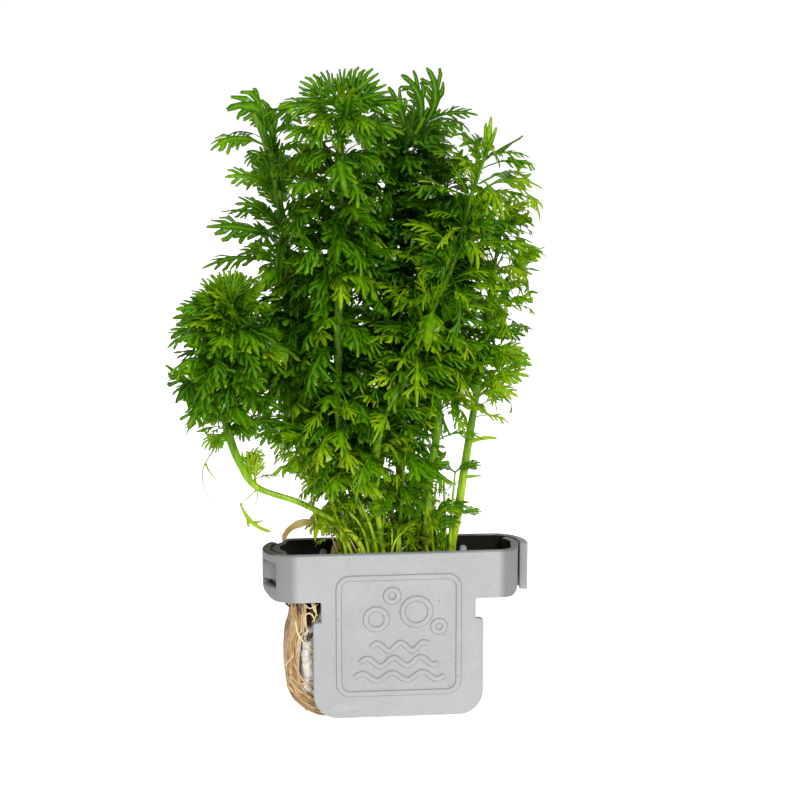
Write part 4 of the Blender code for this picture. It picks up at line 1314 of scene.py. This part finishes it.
def growSprig(plan, chance):
    foot = np.array([chance.uniform(*plan["footX"]), chance.uniform(*plan["footY"]), plan["footZ"]])
    move = np.array([chance.uniform(*span) for span in plan["move"]])
    points = [foot, *(foot + move * bend for bend in plan["bends"]), foot + move]
    line = thread(points, chance.uniform(*plan["radius"]), plan["endShare"])
    made = []
    for index in range(chance.randint(*plan["leaves"])):
        place = line[round((len(line) - 1) * chance.uniform(*plan["along"]))][0]
        outward = levelWay(chance.uniform(0.0, 2 * math.pi))
        look = anyLook(chance)
        look.update(size=chance.uniform(*plan["leafSize"]), rise=chance.gauss(*plan["rise"]),
                    droop=chance.gauss(*plan["droop"]), tone=chance.uniform(*plan["tone"]))
        made.append(leafOn(chance.choice(plan["kinds"]), np.array(place), outward, straightUp, look))
    return line, made


def growLoosePieces():
    chance = random.Random(sprigPlan["seed"])
    sprigs = [growSprig(sprigPlan, chance) for _ in range(sprigPlan["count"])]
    young = sum((leaves for line, leaves in sprigs), [])
    asPart(joined("looseLeaves.green", clearOfHolder(young)), "leaf", "leaf_green")
    asPart(joined("looseLeaves.dry", [leafFrom(None, *leaf) for leaf in dryLeaves]), "dry", "leaf_green")
    for finish, plans in looseThreads.items():
        lines = [thread(points, radius) for points, radius in plans]
        if finish == "stem":
            lines += [line for line, leaves in sprigs]
        made = tubes("looseThreads." + finish, lines, 1, [threadTone] * len(lines))
        asPart(made, finish, "stem_green" if finish == "stem" else "tan_roots")


growLoosePieces()
for pattern in patternLeaves.values():
    bpy.data.objects.remove(pattern)
print("single leaves and threads placed")


# The holder
def copyOfNode(name, node):
    made = copied(frame["nodes"][node])
    made.name = name
    made.parent = None
    for key in list(made.keys()):
        del made[key]
    enterEdit(made, "VERT", "SELECT")
    bpy.ops.mesh.remove_doubles(threshold=0.000005)
    leaveEdit()
    return made


holderPlan = {"edge": 0.3, "edgeSegments": 3, "roundedOver": 40.0, "flatWithin": 3.0, "smoothWithin": 34.0}


def holderHalf(name, node):
    made = copyOfNode(name, node)
    enterEdit(made, "VERT", "SELECT")
    bpy.ops.mesh.dissolve_limited(angle_limit=math.radians(holderPlan["flatWithin"]))
    leaveEdit()
    applyModifier(made, "BEVEL", width=holderPlan["edge"] * mm, segments=holderPlan["edgeSegments"],
                  limit_method="ANGLE", angle_limit=math.radians(holderPlan["roundedOver"]),
                  use_clamp_overlap=False, miter_outer="MITER_ARC", harden_normals=False)
    shadeSmooth(made, holderPlan["smoothWithin"])
    return asPart(made, "plastic", "holder_plastic", node)


holderHalf("holder.frontHalf", "holder_front_half")
holderHalf("holder.rearHalf", "holder_rear_half")
print("holder halves ready")


# Raised lines on the front panel: a frame, and ripples with bubbles over them
reliefPlan = {
    "face": -8.2, "halfWidth": 0.78, "topHalfWidth": 0.5, "raise": 0.26, "sink": 0.3, "smoothWithin": 20.0,
    "frame": {"left": -14.3, "right": 14.3, "bottom": 6.1, "top": 34.8, "corner": 2.7},
    # bubbles are (x, z, radius); ripples are (x at the left, x at the right, z, swing, length of a wave)
    "bubbles": [(-5.4, 24.6, 2.5), (4.2, 26.2, 3.3), (-1.6, 30.3, 1.5), (9.6, 22.4, 1.4)],
    "ripples": [(-10.6, 10.8, 10.2, 0.9, 7.2), (-9.2, 9.4, 13.9, 1.0, 6.4), (-6.6, 6.9, 17.6, 1.0, 5.6)],
}


def roundedFrame(plan):
    corner = plan["corner"]
    turns = [(plan["right"], plan["top"], 0), (plan["left"], plan["top"], 90),
             (plan["left"], plan["bottom"], 180), (plan["right"], plan["bottom"], 270)]
    points = []
    for x, z, start in turns:
        centreX = x - corner * (1 if x > 0 else -1)
        centreZ = z - corner * (1 if start < 180 else -1)
        for degrees in range(start, start + 91, 10):
            points.append((centreX + corner * math.cos(math.radians(degrees)),
                           centreZ + corner * math.sin(math.radians(degrees))))
    return points


def bubble(x, z, radius):
    return [(x + radius * math.cos(math.radians(degrees)), z + radius * math.sin(math.radians(degrees)))
            for degrees in range(0, 360, 12)]


def ripple(left, right, z, swing, waveLength):
    count = 60
    places = [left + (right - left) * index / count for index in range(count + 1)]
    return [(x, z + swing * math.sin(2 * math.pi * (x - left) / waveLength)) for x in places]


def flatCurve(name, lines):
    made = bpy.data.curves.new(name, "CURVE")
    made.dimensions = "2D"
    made.fill_mode = "NONE"
    for points, closed in lines:
        spline = made.splines.new("POLY")
        spline.points.add(len(points) - 1)
        spline.use_cyclic_u = closed
        for point, (x, y) in zip(spline.points, points):
            point.co = (x * mm, y * mm, 0.0, 1.0)
    return made


def makeRelief(plan):
    wide, narrow, high, low = plan["halfWidth"], plan["topHalfWidth"], plan["raise"], -plan["sink"]
    section = [(-wide, low), (wide, low), (wide, 0.0), (narrow, high), (-narrow, high), (-wide, 0.0)]
    profile = added("ridgeProfile", flatCurve("ridgeProfile", [(section, True)]))
    lines = [(roundedFrame(plan["frame"]), True)]
    lines += [(bubble(*place), True) for place in plan["bubbles"]]
    lines += [(ripple(*place), False) for place in plan["ripples"]]
    curve = flatCurve("holder.relief", lines)
    curve.bevel_mode = "OBJECT"
    curve.bevel_object = profile
    curve.use_fill_caps = True
    made = asMesh(added("holder.relief", curve))
    made.rotation_euler.x = math.radians(90.0)
    made.location.y = plan["face"] * mm
    applyPlace(made)
    bpy.data.objects.remove(profile)
    enterEdit(made, "FACE", "SELECT")
    bpy.ops.mesh.normals_make_consistent(inside=False)
    leaveEdit()
    shadeSmooth(made, plan["smoothWithin"])
    return asPart(made, "plastic", "holder_plastic")


makeRelief(reliefPlan)
print("relief ready")


# Wool and roots
fillingPlan = {"voxel": 0.75, "sink": 0.35, "fineShare": 0.5, "fineTimes": 2.7}
woolPlan = {
    "rough": 0.55, "frequency": 0.35, "seed": 21, "fibres": 420, "fibreRadius": (0.045, 0.085),
    "steps": (6, 14), "stride": 0.9, "lift": 0.35, "liftShare": (0.3, 1.0), "wander": 0.5,
    "top": {"slopeFrom": -15.0, "slopeTo": -21.5, "drop": 8.5, "from": 15.0, "height": 30.2},
    # fibres lie on the faces that look less forwards or back than this, or lie left of leftX
    "facing": 0.9, "leftX": -16.0,
}
rootPlan = {
    "rough": 0.7, "frequency": 0.55, "coreTone": 0.2, "seed": 8, "strands": 230, "strandRadius": (0.13, 0.32),
    "depth": (0.1, 3.1), "shallow": (0.1, 0.7), "halfDepth": 5.7, "starts": (0.0, 0.12),
    "lateStarts": (0.0, 0.45), "length": (0.45, 0.9), "tone": (0.56, 0.15), "toneLimits": (0.26, 0.86),
    "step": 1.3, "endShare": 0.45,
    # waves inwards and across, as (radians over the mat's whole length, size in mm)
    "swing": [(9.0, 0.45), (23.0, 0.2)], "drift": [(7.0, 0.9), (17.0, 0.4)],
    # the mat is pushed in at the left over this height, and narrowed from front to back
    "core": {"from": 17.5, "over": 2.5, "leftOf": -20.0, "push": 0.5, "pushHigh": 1.5, "narrow": 0.94},
    # the roots' outer line from the top to the far end, as (x, z)
    "outer": [(-25.3, 31.0), (-25.5, 24.0), (-25.9, 21.5), (-26.6, 19.4), (-27.0, 14.0), (-26.8, 8.7),
              (-25.8, 5.6), (-23.9, 3.2), (-21.3, 1.3), (-18.2, 0.05), (-12.0, 0.0), (-4.0, 0.05), (6.0, 0.2),
              (12.0, 0.4)],
}
shadeFillingRoots = {
    # painted shade: short near-black roots that fill the shaded room over the wool, beside the front panel's
    # neck
    "count": 110, "x": (-22.8, -15.0), "y": (-3.5, 5.0), "z": (22.5, 30.0), "swing": 1.3,
    "radius": (0.25, 0.5), "endShare": 0.7, "tone": (0.0, 0.16),
}


def roughCopy(name, node, depth, frequency, reshape):
    # an even mesh of a node, pushed in and out by a noise
    plan = fillingPlan
    made = copyOfNode(name, node)
    applyModifier(made, "REMESH", mode="VOXEL", voxel_size=plan["voxel"] * mm)
    for point in made.data.vertices:
        place = point.co / mm
        fine = noise.noise(place * frequency * plan["fineTimes"])
        push = noise.noise(place * frequency) + plan["fineShare"] * fine
        inward = max(0.0, plan["sink"] + push * depth)
        point.co = Vector(reshape(place - point.normal * inward)) * mm
    return made


def woolShape(place):
    plan = woolPlan["top"]
    share = eased((place.x - plan["slopeFrom"]) / (plan["slopeTo"] - plan["slopeFrom"]))
    high = max(0.0, (place.z - plan["from"]) / (plan["height"] - plan["from"]))
    return place.x, place.y, place.z - plan["drop"] * share * high


def rootShape(place):
    plan = rootPlan["core"]
    high = eased((place.z - plan["from"]) / plan["over"])
    push = plan["pushHigh"] * high + plan["push"] if place.x < plan["leftOf"] else 0.0
    return place.x + push, place.y * plan["narrow"], place.z


def crawl(tree, start, heading, count, plan, chance):
    # a line that keeps to a surface and turns a little at each step
    place = start
    found = []
    for step in range(count):
        near, normal = tree.find_nearest(place)[:2]
        found.append(near + normal * (plan["lift"] * mm) * chance.uniform(*plan["liftShare"]))
        heading = heading - normal * heading.dot(normal)
        heading.rotate(Quaternion(normal, chance.gauss(0.0, plan["wander"])))
        heading.normalize()
        place = near + heading * (plan["stride"] * mm)
    return found


def growWool():
    plan = woolPlan
    wool = roughCopy("wool.body", "wool_plug", plan["rough"], plan["frequency"], woolShape)
    tree = BVHTree.FromPolygons([point.co for point in wool.data.vertices],
                                [face.vertices for face in wool.data.polygons])
    chance = random.Random(plan["seed"])
    faces = [face for face in wool.data.polygons
             if abs(face.normal.y) < plan["facing"] or face.center.x < plan["leftX"] * mm]
    lines = []
    for index in range(plan["fibres"]):
        face = chance.choice(faces)
        heading = Vector([chance.gauss(0, 1) for _ in range(3)])
        route = crawl(tree, Vector(face.center), heading, chance.randint(*plan["steps"]), plan, chance)
        radius = chance.uniform(*plan["fibreRadius"]) * mm
        lines.append([(place, radius) for place in route])
    fibres = tubes("wool.fibres", lines, 0)
    shadeSmooth(wool)
    asPart(joined("wool", [wool, fibres]), "wool", "white_wool", "wool_plug")


def waveSum(share, sizes, starts):
    return sum(math.sin(share * turns + start) * size for (turns, size), start in zip(sizes, starts))


def strandLine(outer, reached, chance, depth, across, first, last, radius):
    # one root along the mat: its depth inside the outer line and its place across both drift slowly
    plan = rootPlan
    count = max(4, round((last - first) * reached[-1] / (plan["step"] * mm)))
    starts = [chance.uniform(0.0, 6.28) for _ in range(4)]
    found = []
    for index in range(count + 1):
        share = first + (last - first) * index / count
        at = np.array([share * reached[-1]])
        spot = along(outer, reached, at)[0]
        ahead = unit(along(outer, reached, at + 0.4 * mm)[0] - along(outer, reached, at - 0.4 * mm)[0])
        inward = np.array([-ahead[2], 0.0, ahead[0]])
        inset = max(radius * 0.9, depth + waveSum(share, plan["swing"], starts[:2])) * mm
        y = across + waveSum(share, plan["drift"], starts[2:])
        y = max(-plan["halfDepth"], min(plan["halfDepth"], y)) * mm
        place = spot + inward * inset + np.array([0.0, y, 0.0])
        place[2] = max(place[2], radius * mm)
        found.append((place, radius * mm * mixed(1.0, plan["endShare"], index / count)))
    return found


looseRoots = {
    # roots that lie over the front of the wool, seen through the gap beside the front panel: (x, z)
    # places from one end to the other, and the radius
    "front": -5.8,
    "lines": [
        ([(-24.5, 24), (-23.5, 20), (-20, 16)], 0.3),
        ([(-22, 23), (-22, 25.5), (-20.5, 25.5), (-19.5, 22.5)], 0.26),
        ([(-22.5, 25), (-21.5, 20), (-21.5, 16)], 0.2),
        ([(-21, 15.5), (-22.5, 12), (-21.5, 9.5), (-20, 10.5)], 0.13),
        ([(-20.5, 14.5), (-21, 11.5), (-19.5, 11.5)], 0.12),
        ([(-27, 13), (-25, 15.5)], 0.26),
        ([(-25, 13.5), (-23, 9.5), (-18, 4)], 0.36),
        ([(-26, 11), (-24, 8.5), (-21, 8.5), (-19, 9)], 0.34),
        ([(-26, 9.5), (-23, 6), (-16, 2)], 0.42),
        ([(-26.5, 8), (-22.5, 3.5), (-16.5, 1)], 0.4),
        ([(-20.5, 28.5), (-20, 26.5), (-19, 25)], 0.24),
        ([(-20, 28.5), (-19.5, 25.5), (-20.5, 23.5)], 0.22),
        ([(-22.5, 28.5), (-21, 27), (-19, 28)], 0.22),
    ],
    "palest": 0.95, "paler": 0.74, "palerLines": (6, 7, 8, 9), "endShare": 0.6,
}


def growStrands(plan, chance):
    outer = smoothRoute([(x, 0.0, z) for x, z in plan["outer"]], 0.8)
    reached = lengthsAlong(outer)
    lines = []
    for index in range(plan["strands"]):
        radius = chance.uniform(*plan["strandRadius"])
        depth = chance.uniform(*plan["depth"] if index % 3 else plan["shallow"])
        across = chance.uniform(-1.0, 1.0) * plan["halfDepth"]
        if index % 3 == 1:
            across = plan["halfDepth"] * chance.choice((-1.0, -1.0, 1.0))
        first = chance.uniform(*plan["starts"] if index % 4 else plan["lateStarts"])
        last = min(1.0, first + chance.uniform(*plan["length"]))
        lines.append(strandLine(outer, reached, chance, depth, across, first, last, radius))
    least, most = plan["toneLimits"]
    return lines, [min(most, max(least, chance.gauss(*plan["tone"]))) for _ in lines]


def growRoots():
    plan = rootPlan
    core = roughCopy("roots.core", "root_mass", plan["rough"], plan["frequency"], rootShape)
    chance = random.Random(plan["seed"])
    lines, tones = growStrands(plan, chance)
    # near-black roots as painted shade
    dark = shadeFillingRoots
    for index in range(dark["count"]):
        start = Vector([chance.uniform(*dark[axis]) for axis in ("x", "y", "z")])
        one, two, three = [Vector([chance.gauss(0.0, dark["swing"]) for _ in range(3)]) for _ in range(3)]
        points = [start, start + one, start + one + two, start + two + three]
        lines.append(thread(points, chance.uniform(*dark["radius"]), dark["endShare"]))
        tones.append(chance.uniform(*dark["tone"]))
    for index, (points, radius) in enumerate(looseRoots["lines"]):
        points = [(x, looseRoots["front"], z) for x, z in points]
        lines.append(thread(points, radius, looseRoots["endShare"]))
        tones.append(looseRoots["paler"] if index in looseRoots["palerLines"] else looseRoots["palest"])
    strands = tubes("roots.strands", lines, 1, tones)
    setTone(core, [plan["coreTone"]] * len(core.data.vertices))
    shadeSmooth(core)
    asPart(joined("roots", [core, strands]), "root", "tan_roots", "root_mass")


growWool()
growRoots()
print("wool and roots ready")


# The stage: a pale floor, soft light and the camera
stagePlan = {
    "camera": (-45.6, -486.7, 180.5), "aim": (1.05, 0.0, 75.9), "lens": 95.3, "sensor": 36.0,
    "viewTransform": "Standard", "roomLight": 0.22, "floorSize": 20.0,
    "floor": {"Base Color": (0.93, 0.93, 0.93, 1.0), "Roughness": 0.9, "Specular IOR Level": 0.1,
              "Emission Color": (1.0, 1.0, 1.0, 1.0), "Emission Strength": 0.82},
}
lamps = {
    # place and size in metres, and power in watts; each one faces the plant
    "keyLamp": {"place": (0.42, -1.15, 0.8), "size": 0.4, "power": 15.0},
    "fillLamp": {"place": (-0.8, -0.9, 0.5), "size": 0.9, "power": 2.0},
    "backLamp": {"place": (0.1, 0.8, 1.0), "size": 0.6, "power": 3.0},
}


def aimed(piece, place, target):
    piece.location = place
    piece.rotation_euler = (Vector(target) - Vector(place)).to_track_quat("-Z", "Y").to_euler()


def makeStage(plan):
    bpy.ops.mesh.primitive_plane_add(size=plan["floorSize"], location=(0.0, 0.0, 0.0))
    floor = bpy.context.object
    floor.name = "paleFloor"
    floor.data.materials.append(Surface("paleFloorFinish").finish({}, plan["floor"]))
    target = Vector(plan["aim"]) * mm
    for name, settings in lamps.items():
        lamp = bpy.data.lights.new(name, "AREA")
        lamp.shape = "DISK"
        lamp.size = settings["size"]
        lamp.energy = settings["power"]
        aimed(added(name, lamp), settings["place"], target)
    world = bpy.data.worlds.new("softRoom")
    world.use_nodes = True
    background = world.node_tree.nodes["Background"].inputs
    background["Color"].default_value = (1.0, 1.0, 1.0, 1.0)
    background["Strength"].default_value = plan["roomLight"]
    bpy.context.scene.world = world
    lens = bpy.data.cameras.new("photoView")
    lens.lens = plan["lens"]
    lens.sensor_width = plan["sensor"]
    camera = added("photoView", lens)
    aimed(camera, Vector(plan["camera"]) * mm, target)
    bpy.context.scene.camera = camera
    bpy.context.scene.view_settings.view_transform = plan["viewTransform"]


makeStage(stagePlan)
print("stage ready")
